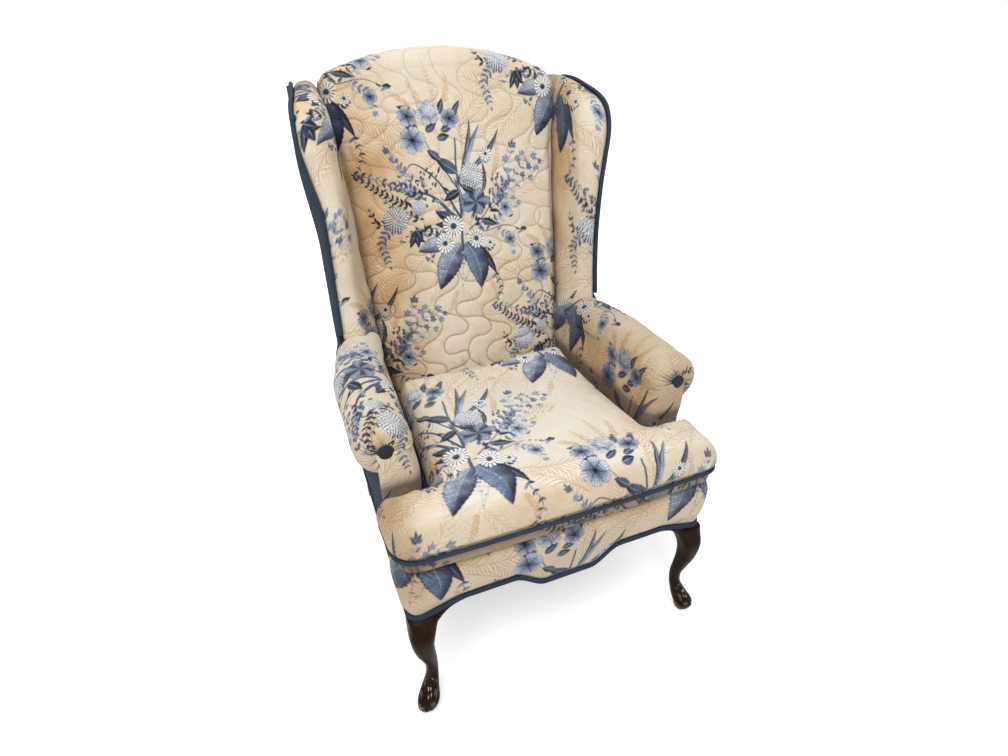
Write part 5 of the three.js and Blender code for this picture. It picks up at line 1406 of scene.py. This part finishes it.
def kneeBracket(sx):
    x = np.linspace(bracket["far"], bracket["near"], bracket["steps"])
    top = borderUnderside(x) - 0.4
    t = np.linspace(0, 1, bracket["steps"])
    tall = bracket["end"] + (bracket["drop"] - bracket["end"]) * t ** bracket["power"]
    a = np.linspace(0, 2 * np.pi, bracket["around"], endpoint=False)[None, :]
    square = (np.abs(np.cos(a)) ** 5 + np.abs(np.sin(a)) ** 5) ** -0.2
    y = bracket["front"] + bracket["depth"] / 2 * (1 + np.cos(a) * square)
    z = (top - tall / 2)[:, None] + (tall / 2)[:, None] * np.sin(a) * square
    points = joined(x[:, None], y, z)
    points[..., 0] *= sx
    return points


# Materials: shared effects as node groups, with the shaders in each material

def toTree(tree, kind, **values):
    made = tree.nodes.new(kind)
    for name, value in values.items():
        setattr(made, name, value)
    return made


def feed(tree, made, **inputs):  # sets a socket, or links it where an output is given
    for name, value in inputs.items():
        at = int(name[1:]) if name[0] == "i" and name[1:].isdigit() else name.replace("_", " ")
        if isinstance(value, bpy.types.NodeSocket):
            tree.links.new(value, made.inputs[at])
        else:
            made.inputs[at].default_value = value
    return made


def maths(tree, operation, a, b=0.0):
    made = feed(tree, toTree(tree, "ShaderNodeMath", operation=operation), i0=a, i1=b)
    return made.outputs[0]


def weighted(tree, a, share, b, other=1.0):  # a x share + b x other, where b may be a plain number
    second = maths(tree, "MULTIPLY", b, other) if other != 1.0 else b
    return maths(tree, "ADD", maths(tree, "MULTIPLY", a, share), second)


def newGroup(name, inputs, outputs):
    group = bpy.data.node_groups.new(name, "ShaderNodeTree")
    for label, kind, value in inputs:
        socket = group.interface.new_socket(label, in_out="INPUT", socket_type=kind)
        if value is not None:
            socket.default_value = value
    for label, kind in outputs:
        group.interface.new_socket(label, in_out="OUTPUT", socket_type=kind)
    return group, toTree(group, "NodeGroupInput").outputs, toTree(group, "NodeGroupOutput").inputs


def noise(tree, vector, scale, detail=3.0, rough=0.55, kind="Fac"):
    made = feed(tree, toTree(tree, "ShaderNodeTexNoise"), Vector=vector, Scale=scale, Detail=detail,
        Roughness=rough)
    return made.outputs[kind]


def weaveGroup():  # plain weave: raised where warp and weft cross, sin(x f) sin(y f) with uneven threads
    group, given, out = newGroup(
        "plainWeave", [("Vector", "NodeSocketVector", None), ("Threads", "NodeSocketFloat", 4000.0),
                       ("Unevenness", "NodeSocketFloat", 0.4)], [("Height", "NodeSocketFloat")])
    parts = toTree(group, "ShaderNodeSeparateXYZ")
    group.links.new(given["Vector"], parts.inputs[0])
    waves = []
    slubs = []
    for axis, stretch in ((0, (1400, 30, 30)), (1, (30, 1400, 30))):
        waves.append(maths(group, "SINE", maths(group, "MULTIPLY", parts.outputs[axis], given["Threads"])))
        scaled = toTree(group, "ShaderNodeVectorMath", operation="MULTIPLY")
        group.links.new(given["Vector"], scaled.inputs[0])
        scaled.inputs[1].default_value = stretch
        slubs.append(noise(group, scaled.outputs[0], 1.0, 2.0))
    crossing = maths(group, "MULTIPLY", waves[0], waves[1])
    slub = maths(group, "MULTIPLY", maths(group, "ADD", slubs[0], slubs[1]), 0.5)
    uneven = maths(group, "MULTIPLY", maths(group, "SUBTRACT", slub, 0.5), given["Unevenness"])
    height = maths(group, "ADD", maths(group, "MULTIPLY", crossing, 0.5), maths(group, "ADD", uneven, 0.5))
    group.links.new(height, out["Height"])
    return group


def mottleGroup():  # slow and fast noise together, about 0.5, for nap, dust and uneven dye
    group, given, out = newGroup(
        "mottle", [("Vector", "NodeSocketVector", None), ("Broad", "NodeSocketFloat", 14.0),
                   ("Fine", "NodeSocketFloat", 420.0), ("Share", "NodeSocketFloat", 0.5)],
        [("Value", "NodeSocketFloat"), ("Fine", "NodeSocketFloat")])
    broad = noise(group, given["Vector"], given["Broad"], 4.0, 0.6)
    fine = noise(group, given["Vector"], given["Fine"], 2.0, 0.6)
    both = toTree(group, "ShaderNodeMix", data_type="FLOAT")
    feed(group, both, i0=given["Share"], i2=broad, i3=fine)
    group.links.new(both.outputs[0], out["Value"])
    group.links.new(fine, out["Fine"])
    return group


def grainGroup():  # wood: long fibres and darker figure, noise stretched along Z
    group, given, out = newGroup(
        "woodGrain", [("Vector", "NodeSocketVector", None), ("Along", "NodeSocketVector", (90, 90, 5))],
        [("Fibre", "NodeSocketFloat"), ("Figure", "NodeSocketFloat")])
    scaled = toTree(group, "ShaderNodeVectorMath", operation="MULTIPLY")
    group.links.new(given["Vector"], scaled.inputs[0])
    group.links.new(given["Along"], scaled.inputs[1])
    figure = noise(group, scaled.outputs[0], 0.35, 4.0, 0.6)
    fibre = noise(group, scaled.outputs[0], 6.0, 3.0, 0.7)
    group.links.new(fibre, out["Fibre"])
    group.links.new(figure, out["Figure"])
    return group


groups = dict(weave=weaveGroup(), mottle=mottleGroup(), grain=grainGroup())


def place(tree, name, **inputs):
    made = toTree(tree, "ShaderNodeGroup", node_tree=groups[name])
    return feed(tree, made, **inputs).outputs


def colours(tree, factor, *stops):  # colour ramp from sRGB stops (position, colour)
    ramp = toTree(tree, "ShaderNodeValToRGB")
    tree.links.new(factor, ramp.inputs[0])
    band = ramp.color_ramp
    while len(band.elements) < len(stops):
        band.elements.new(0.5)
    for element, (position, colour) in zip(band.elements, stops):
        element.position = position
        element.color = (*toLinear(np.array(colour)), 1)
    return ramp.outputs["Color"]


def tinted(tree, base, factor, low, high):  # base colour times a grey between low and high
    grey = weighted(tree, factor, high - low, low)
    made = toTree(tree, "ShaderNodeMix", data_type="RGBA", blend_type="MULTIPLY")
    made.inputs[0].default_value = 1.0
    tree.links.new(base, made.inputs[6])
    tree.links.new(grey, made.inputs[7])
    return made.outputs[2]


def newMaterial(name, **constants):
    material = bpy.data.materials.new(name)
    material.use_nodes = True
    tree = material.node_tree
    shader = tree.nodes["Principled BSDF"]
    for socket, value in constants.items():
        shader.inputs[socket.replace("_", " ")].default_value = value
    return material, tree, shader


def raised(tree, shader, height, strength, distance):
    made = feed(tree, toTree(tree, "ShaderNodeBump"), Height=height, Strength=strength, Distance=distance)
    tree.links.new(made.outputs[0], shader.inputs["Normal"])


def inObject(tree):
    return toTree(tree, "ShaderNodeTexCoord").outputs["Object"]


def onCloth(tree):
    return toTree(tree, "ShaderNodeUVMap", uv_map="cloth").outputs["UV"]


finish = dict(
    floral=dict(nap=(0.90, 1.07), rough=0.88, bump=0.35),
    navy=dict(dark=(0.105, 0.14, 0.20), light=(0.24, 0.295, 0.375), threads=5200.0),
    piping=dict(dark=(0.10, 0.135, 0.185), light=(0.27, 0.325, 0.40), slant=2600.0),
    walnut=dict(dark=(0.075, 0.035, 0.014), middle=(0.135, 0.066, 0.03), light=(0.23, 0.12, 0.055),
                glint=(0.85, 0.82, 0.78)),
    beech=dict(dark=(0.63, 0.49, 0.33), light=(0.80, 0.66, 0.47)),
)


def floralCloth():  # the painted print with its painted shade, under a brushed nap, with a fine weave
    look = finish["floral"]
    material, tree, shader = newMaterial("floralCloth", Roughness=look["rough"], Sheen_Weight=0.12,
        Sheen_Roughness=0.5)
    shader.inputs["Specular IOR Level"].default_value = 0.2
    painted = toTree(tree, "ShaderNodeAttribute", attribute_name="print").outputs["Color"]
    nap = place(tree, "mottle", Vector=inObject(tree), Broad=45.0, Fine=620.0, Share=0.55)
    tree.links.new(tinted(tree, painted, nap["Value"], *look["nap"]), shader.inputs["Base Color"])
    weave = place(tree, "weave", Vector=onCloth(tree), Threads=6200.0, Unevenness=0.8)
    both = maths(tree, "ADD", weave["Height"], nap["Fine"])
    raised(tree, shader, both, look["bump"], 0.0006)
    return material


def navyCloth():  # plain weave of dark and lighter blue threads
    look = finish["navy"]
    material, tree, shader = newMaterial("navyCloth", Roughness=0.9, Sheen_Weight=0.03)
    shader.inputs["Specular IOR Level"].default_value = 0.1
    weave = place(tree, "weave", Vector=onCloth(tree), Threads=look["threads"], Unevenness=1.6)
    dye = place(tree, "mottle", Vector=inObject(tree), Broad=30.0, Fine=500.0, Share=0.6)
    blend = weighted(tree, weave["Height"], 0.6, dye["Value"], 0.45)
    tree.links.new(colours(tree, blend, (0.25, look["dark"]), (0.8, look["light"])),
        shader.inputs["Base Color"])
    raised(tree, shader, weave["Height"], 0.5, 0.0008)
    return material


def pipingCloth():  # bias-cut cover of a cord: threads run slantwise round it
    look = finish["piping"]
    material, tree, shader = newMaterial("pipingCloth", Roughness=0.85, Sheen_Weight=0.03)
    shader.inputs["Specular IOR Level"].default_value = 0.12
    parts = toTree(tree, "ShaderNodeSeparateXYZ")
    tree.links.new(onCloth(tree), parts.inputs[0])
    slant = weighted(tree, parts.outputs[0], look["slant"], parts.outputs[1], look["slant"])
    thread = weighted(tree, maths(tree, "SINE", slant), 0.5, 0.5)
    dye = place(tree, "mottle", Vector=inObject(tree), Broad=60.0, Fine=700.0, Share=0.6)
    blend = weighted(tree, thread, 0.45, dye["Value"], 0.55)
    tree.links.new(colours(tree, blend, (0.2, look["dark"]), (0.85, look["light"])),
        shader.inputs["Base Color"])
    raised(tree, shader, thread, 0.5, 0.0008)
    return material


def polishedWood(name, tone, along, rough, coat):
    look = finish[tone]
    material, tree, shader = newMaterial(name, Coat_Weight=coat, Coat_Roughness=0.1)
    shader.inputs["Specular IOR Level"].default_value = 0.05 if tone == "walnut" else 0.3
    grain = place(tree, "grain", Vector=inObject(tree), Along=along)
    blend = weighted(tree, grain["Figure"], 0.65, grain["Fibre"], 0.35)
    stops = [(0.32, look["dark"]), (0.5, look.get("middle", look["dark"])), (0.68, look["light"])]
    base = colours(tree, blend, *stops)
    if "glint" in look:  # painted highlights: pale glints on the carved ridges, from the piece's own attribute
        made = toTree(tree, "ShaderNodeMix", data_type="RGBA")
        tree.links.new(toTree(tree, "ShaderNodeAttribute", attribute_name="print").outputs["Fac"],
            made.inputs[0])
        tree.links.new(base, made.inputs[6])
        made.inputs[7].default_value = (*toLinear(np.array(look["glint"])), 1)
        base = made.outputs[2]
    tree.links.new(base, shader.inputs["Base Color"])
    tree.links.new(weighted(tree, grain["Fibre"], 0.2, rough - 0.1), shader.inputs["Roughness"])
    raised(tree, shader, grain["Fibre"], 0.12, 0.0006)
    return material


def speckled(name, dark, light, broad, fine, rough, bumpStrength=0.25, metal=0.0, woven=False):
    # Two tones by noise, and a weave on flat nodes from Object coordinates where it is woven
    material, tree, shader = newMaterial(name, Metallic=metal)
    where = inObject(tree)
    tone = place(tree, "mottle", Vector=where, Broad=broad, Fine=fine, Share=0.5)
    value, height = tone["Value"], tone["Fine"]
    if woven:
        turned = feed(tree, toTree(tree, "ShaderNodeMapping"), Vector=where)
        weave = place(tree, "weave", Vector=turned.outputs[0], Threads=woven, Unevenness=1.2)
        value = weighted(tree, value, 0.5, weave["Height"], 0.5)
        height = weave["Height"]
    tree.links.new(colours(tree, value, (0.3, dark), (0.7, light)), shader.inputs["Base Color"])
    tree.links.new(weighted(tree, tone["Fine"], 0.25, rough - 0.12), shader.inputs["Roughness"])
    raised(tree, shader, height, bumpStrength, 0.0008)
    return material


materials = dict(
    floral=floralCloth(), navy=navyCloth(), piping=pipingCloth(),
    walnut=polishedWood("darkWood", "walnut", (70, 70, 6), 0.4, 0.02),
    button=speckled("buttonCloth", (0.055, 0.075, 0.11), (0.12, 0.15, 0.205), 40.0, 700.0, 0.9, 0.4,
                    woven=4200.0),
    beech=polishedWood("frameWood", "beech", (6, 60, 60), 0.62, 0.0),
    beechUp=polishedWood("postWood", "beech", (60, 60, 6), 0.62, 0.0),
    jute=speckled("juteWeb", (0.52, 0.42, 0.27), (0.72, 0.60, 0.42), 60.0, 600.0, 0.9, 0.6, woven=2100.0),
    decking=speckled("deckCloth", (0.66, 0.60, 0.48), (0.76, 0.70, 0.58), 30.0, 600.0, 0.9, 0.4,
                    woven=4200.0),
    cambric=speckled("dustCloth", (0.07, 0.07, 0.075), (0.14, 0.14, 0.15), 90.0, 900.0, 0.9, 0.4,
                    woven=5000.0),
    steel=speckled("springSteel", (0.50, 0.51, 0.53), (0.66, 0.67, 0.69), 40.0, 900.0, 0.38, 0.15,
                    metal=1.0),
    nylon=speckled("glideNylon", (0.13, 0.115, 0.10), (0.20, 0.18, 0.16), 60.0, 800.0, 0.55),
)
print("materials made")


# Building: each piece rides on its body and stands for its CAD node

def build(name, points, finishName, slot, *replaced, fill=None, **details):
    piece = addSurface(name, points, **details)
    if replaced:
        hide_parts(*replaced)
    piece.data.materials.append(materials[finishName])


tile = paintTile()
print("print painted", tile.shape)

# Where a bouquet's foot stands on each panel's developed cloth, in mm, and the print's scale there
layout = dict(
    back=dict(foot=(-5, 371), scale=0.945), cushion=dict(foot=(-149, -244), scale=1.0),
    border=dict(foot=(-2, 86), scale=1.0), wingRight=dict(foot=(-264, 1038), scale=1.02),
    wingLeft=dict(foot=(-42, 675), scale=1.0), armRight=dict(foot=(-133, 589), scale=1.0),
    armLeft=dict(foot=(-59, 536), scale=1.0),
)


def printed(panel, flat, flip=1):
    foot, scale = layout[panel]["foot"], layout[panel]["scale"]
    return printAt(tile, (flat[..., 0] * flip - foot[0]) / scale, (flat[..., 1] - foot[1]) / scale)


# Colour factors: tan tone with painted shade on the blue print in the tan patches, painted shade at seams,
# painted shadow below the cushion's welt, and the colours of thread and plain cloth
toneAndShade = dict(tan=(0.86, 0.75, 0.60), dulled=(0.70, 0.70, 0.72), seam=(0.36, 0.31, 0.27),
    seamInk=(0.28, 0.29, 0.33),
             thread=(0.47, 0.34, 0.22), plain=(0.82, 0.74, 0.61), underWeltShadow=(0.66, 0.6, 0.52))
toneAndShade = {name: np.array(factor) for name, factor in toneAndShade.items()}


def tannedAndShaded(colour, amount, x, y):  # tan tone and painted shade by this amount, in curved brush strokes: the cream goes tan, the blue print darker
    strokes = np.sin((x + 0.7 * y) / 1.15 + 8 * wander(x, y, 150, 92, 2))
    strokes = strokes * np.sin((x - y) / 19 + 3 * wander(x, y, 90, 93, 1))
    share = np.clip(amount * (1 + 0.22 * wander(x, y, 110, 91, 3) + 0.4 * strokes), -0.4, 1.4)[..., None]
    return mix(colour, colour * mix(toneAndShade["tan"], toneAndShade["dulled"], inked(colour)), share)


def inked(colour):  # 1 on the blue print, 0 on the cream and tan
    return np.clip((colour[..., 2:] - colour[..., :1]) * 8 + 0.4, 0, 1)


def seamShaded(colour, inFromSeam, amount, reach=9.0):  # painted shade: darker where the cloth runs into a seam or crease, the blue print darker over a wider reach
    away = np.clip(inFromSeam, 0, None) / reach
    share, blue = (amount * np.exp(-away))[..., None], inked(colour)
    share = np.maximum(share, blue * 0.8 * (amount * np.exp(-away / 4))[..., None])
    return colour * mix(1, mix(toneAndShade["seam"], toneAndShade["seamInk"], blue), share)


def evenUv(points):  # cloth coordinates from the arc lengths along both ways of a grid
    down = np.linalg.norm(np.diff(points, axis=0), axis=-1)
    over = np.linalg.norm(np.diff(points, axis=1), axis=-1)
    v = np.concatenate([[0], np.cumsum(down.mean(axis=1))])[:, None]
    u = np.concatenate([[0], np.cumsum(over.mean(axis=0))])[None, :]
    return joined(v, u)


def piping(name, path, radius, closed, node, body="chair", flatten=1.0):
    grid = tube(path, radius, closed=closed)
    grid[..., 2] = mix(path[:, None, 2], grid[..., 2], flatten)
    run = along(path)
    around = np.arange(grid.shape[1]) * 2 * np.pi * radius / grid.shape[1]
    uv = joined(run[:, None], around[None, :])
    if closed:
        grid = np.concatenate([grid, grid[:1]])
        uv = np.concatenate([uv, uv[-1:] + [run[-1] / (len(run) - 1), 0]])
    build(name, grid, "piping", "welt", node, uv=uv, body=body, wrap=2 * np.pi * radius, capped=not closed)


points, flat, stitch = insideBack()
colour = printed("back", flat)
u, v = flat[..., 0], flat[..., 1]
colour = mix(colour, toneAndShade["thread"], (stitch * mix(0.55, 0.22, ease((v - 250) / 150)))[..., None])
# Tan tone and painted shade on the left and lower left of the back, then painted shade along both sides
# where the wings meet it, reaching further in lower down and stronger on the left
tanAndShade = 0.75 * ease((-70 - u) / 130) + 0.5 * ease((90 - v) / 90) * ease((-20 - u) / 120)
colour = tannedAndShaded(colour, 0.05 + tanAndShade * mix(1.0, 0.45, ease((v - 560) / 100)), u, v)
colour = seamShaded(colour, 256 - np.abs(points[..., 0]) - 0.09 * (560 - v).clip(0), 0.6 - 0.25 * (u > 0))
grid = [part.transpose(1, 0, 2) for part in (points, colour, flat)]
build("quiltedBack", grid[0], "floral", "floral", "inside_back", fill=0.8, colour=grid[1], uv=grid[2])
print("back built")


def dressWing(side, sx):
    points, flat = wingPad(sx)
    colour = printed("wingRight" if sx > 0 else "wingLeft", flat, -sx)
    y, z = flat[..., 0], flat[..., 1]
    # Tan tone and painted shade towards the root of the right wing, a little on the left one
    tanAndShade = 0.9 * ease((y - 150) / 90) if sx > 0 else 0.35 * ease((y - 120) / 40)
    colour = tannedAndShaded(colour, tanAndShade, y, z)
    # Plain cloth in the trough by the crest
    behindFace = ease((y - faceLine(z) + 14) / 10) * ease((z - 1012) / 18)
    colour = mix(colour, toneAndShade["plain"], behindFace[..., None])
    # Painted shade where the wing runs into the back, stronger lower down
    colour = seamShaded(colour, faceLine(z) + 4 - y, 0.75 - 0.4 * ease((z - 990) / 50), 12)
    build(f"wingPad.{side}", points, "floral", "floral", f"inside_wing_{side}", fill=0.8, colour=colour,
        uv=flat)
    points = outsideWing(sx)
    build(f"wingPanel.{side}", points, "navy", "navy", f"outside_wing_{side}", uv=points[..., 1:])
    edge = wingEdge(300)[27:-3]
    path = np.column_stack([sx * (edge[:, 2] + 0.6), edge[:, 0], edge[:, 1]])
    piping(f"wingPiping.{side}", path, wing["weltRadius"], False, f"wing_welt_{side}")


def dressArm(side, sx):
    # The right arm's cloth is painted 7% darker all over, as painted shade
    panel, armShade = ("armRight", 0.93) if sx > 0 else ("armLeft", 1.0)
    points, flat, pleatShade = armRoll(sx)
    y, z = flat[..., 0], flat[..., 1]
    # Tan tone and painted shade: at the front of the left roll, over all the right roll and more on its
    # inner side behind the front
    tanAndShade = 0.25 * ease((-150 - y) / 60)
    if sx > 0:
        tanAndShade = 0.3 + 0.35 * ease((625 - z) / 70) * ease((y + 215) / 60)
    colour = tannedAndShaded(printed(panel, flat, -sx), tanAndShade, y, z)
    # Painted shade in the gathers' folds, and the right arm's painted shade
    colour = mix(colour, ink["navy"], (pleatShade * 0.85)[..., None]) * armShade
    build(f"armRoll.{side}", points, "floral", "floral", f"arm_pad_{side}", fill=0.85, colour=colour,
        uv=flat,
          wrap=2 * np.pi * arm["rollRadius"])
    points, flat = armPanel(sx)
    y, z = flat[..., 0], flat[..., 1]
    # Tan tone and painted shade: over the right panel, more away from its front, and at the foot of the
    # left one
    tanAndShade = 0.35 + 0.4 * ease((y + 235) / 60) if sx > 0 else 0.35 * ease((430 - z) / 40)
    colour = tannedAndShaded(printed(panel, flat, -sx), tanAndShade, y, z)
    # Painted shade at the foot of the panel, up to the cushion's top, with the right arm's painted shade
    colour = seamShaded(colour, z - 470 - 8 * (sx > 0), 0.55, 8) * armShade
    build(f"armPanel.{side}", points, "floral", "floral", fill=0.8, colour=colour, uv=flat)
    points = outsideArm(sx)
    build(f"armSide.{side}", points, "navy", "navy", f"outside_arm_{side}", uv=points[..., 1:])
    points, flat = coveredButton(sx)
    build(f"armButton.{side}", points, "button", "welt", f"arm_button_{side}", uv=flat)


for side, sx in sides.items():
    dressWing(side, sx)
    dressArm(side, sx)
    points = bandSide(sx)
    build(f"sideBand.{side}", points, "navy", "welt", f"side_band_{side}", uv=evenUv(points))
    points, glint = frontLeg(sx)
    build(f"frontLeg.{side}", points, "walnut", "walnut", f"front_leg_{side}", colour=glint)
    build(f"kneeBracket.{side}", kneeBracket(sx), "walnut", "walnut", f"knee_return_front_{side}")
print("wings, arms and legs built")

points, outline, flat = seatCushion()
x, y = flat[..., 0], flat[..., 1]
# Tan tone and painted shade round the left ear, in both notches, along the front and the left side
tanAndShade = 0.45 * bump(np.hypot(x + 318, (y + 275) * 0.8), 52) + 0.8 * bump(np.hypot(x + 228, y + 232), 45)
tanAndShade += 0.55 * ease((-165 - x) / 60) * ease((y + 230) / 40) + 0.3 * bump(np.hypot(x - 232, y + 232), 40)
tanAndShade += 0.35 * ease((-330 - y) / 30) + 0.3 * ease((-250 - x) / 60) - 0.15
# Darker at the left end of the ear and a little along the front, and painted shadow below the welt
shaded = 0.16 * ease((-265 - x) / 45) + 0.04 * ease((-330 - y) / 30)
shaded += 0.4 * ease((weltLevel - 3 - points[..., 2]) / 5)
colour = tannedAndShaded(printed("cushion", flat), tanAndShade, x, y)
colour = colour * mix(1, toneAndShade["underWeltShadow"], shaded[..., None] * 1.7)
build("seatCushion", points, "floral", "floral", "seat_cushion", fill=0.85, colour=colour, uv=flat,
      body="seat_cushion")
path = np.column_stack([outline, np.full(len(outline), weltLevel)])
piping("cushionPiping", path, cushion["pipe"], True, "cushion_welt", "seat_cushion", cushion["pipeFlat"])
points, flat = frontBorder()
u, v = flat[..., 0], flat[..., 1]
# Tan tone, more on the left, and along the top a band of tan tone and painted shadow under the cushion; the
# whole border 3% darker
tanAndShade = 0.18 + 0.35 * ease((-220 - u) / 80) + 0.4 * bump(v - 385, 22)
colour = 0.97 * tannedAndShaded(printed("border", flat), tanAndShade, u, v)
build("frontBorder", points, "floral", "floral", "front_border", fill=0.8, colour=colour, uv=flat)
for name, points, node in (("borderBand", bandFront(), "front_band"),
        ("rearBand", bandRear(), "rear_band")):
    build(name, points, "navy", "welt", node, uv=evenUv(points))
points, flat = backPanel()
build("outsideBack", points, "navy", "navy", "outside_back", uv=flat)
points, flat = seatDeck()
build("seatDeck", points, "decking", "jute", "seat_deck", fill=0.9, uv=flat)
print("cushion, border and panels built")

# Materials of the CAD nodes that stay
finishes = dict(
    back_webbing="jute", seat_springs="steel", dust_cover="cambric", cushion_zip="cambric",
    zip_slider="steel",
    crest_rail="beech", lower_back_rail="beech", front_seat_rail="beech", rear_seat_rail="beech",
)
starts = dict(glide="nylon", knee_return="walnut", back_post="walnut", corner_block="beech",
    side_rail="beech",
              arm_post="beechUp", wing_post="beechUp", arm_rail="beech", wing_top_rail="beech")
for name in nodes:
    piece = bpy.data.objects.get(name)
    if piece is None or piece.hide_render:
        continue
    chosen = finishes.get(name) or next((kind for start, kind in starts.items() if name.startswith(start)),
        None)
    if chosen is None:
        print("no finish for", name)
        continue
    if not piece.material_slots:
        piece.data.materials.append(materials[chosen])
    for slot in piece.material_slots:
        slot.material = materials[chosen]
print("frame nodes finished")


# Studio: pale floor that goes white away from the chair, plain soft light

studio = dict(world=0.45, white=(0.9, 2.2), floor=(0.93, 0.93, 0.93), glow=0.5, lamps=[
    ((-1.0, -1.7, 3.3), 84, 1.8), ((2.4, -1.8, 2.0), 9, 2.4), ((0.2, 1.9, 2.7), 20, 1.6)])


def seenDirectly(tree):  # 1 for camera, glossy and transmitted rays
    path = toTree(tree, "ShaderNodeLightPath").outputs
    through = maths(tree, "MAXIMUM", path["Is Glossy Ray"], path["Is Transmission Ray"])
    return maths(tree, "MAXIMUM", path["Is Camera Ray"], through)


def addFloor():
    mesh = bpy.data.meshes.new("floor")
    mesh.from_pydata([(-30, -30, 0), (30, -30, 0), (30, 30, 0), (-30, 30, 0)], [], [(0, 1, 2, 3)])
    piece = bpy.data.objects.new("floor", mesh)
    scene.collection.objects.link(piece)
    material, tree, shader = newMaterial("paleFloor", Roughness=0.9)
    shader.inputs["Base Color"].default_value = (*toLinear(np.array(studio["floor"])), 1)
    shader.inputs["Emission Color"].default_value = (1, 1, 1, 1)
    # Seen directly, the floor goes over to plain white between two distances from the chair
    far = toTree(tree, "ShaderNodeVectorMath", operation="LENGTH")
    tree.links.new(inObject(tree), far.inputs[0])
    spread = feed(tree, toTree(tree, "ShaderNodeMapRange", interpolation_type="SMOOTHSTEP"),
        i0=far.outputs["Value"],
                  i1=studio["white"][0], i2=studio["white"][1], i3=studio["glow"], i4=1.0)
    tree.links.new(maths(tree, "MULTIPLY", seenDirectly(tree), spread.outputs[0]),
        shader.inputs["Emission Strength"])
    mesh.materials.append(material)


def addLight():
    world = bpy.data.worlds.new("studio")
    scene.world = world
    world.use_nodes = True
    tree = world.node_tree
    tree.nodes["Background"].inputs["Color"].default_value = (1, 1, 1, 1)
    level = weighted(tree, seenDirectly(tree), 1 - studio["world"], studio["world"])
    tree.links.new(level, tree.nodes["Background"].inputs["Strength"])
    for at, energy, spread in studio["lamps"]:
        lamp = bpy.data.lights.new("soft", "AREA")
        lamp.energy = energy
        lamp.size = spread
        holder = bpy.data.objects.new("soft", lamp)
        holder.location = at
        holder.rotation_euler = (Vector((0, 0, 0.55)) - Vector(at)).to_track_quat("-Z", "Y").to_euler()
        scene.collection.objects.link(holder)


addFloor()
addLight()
scene.view_settings.view_transform = "Standard"
print("floor and light set")
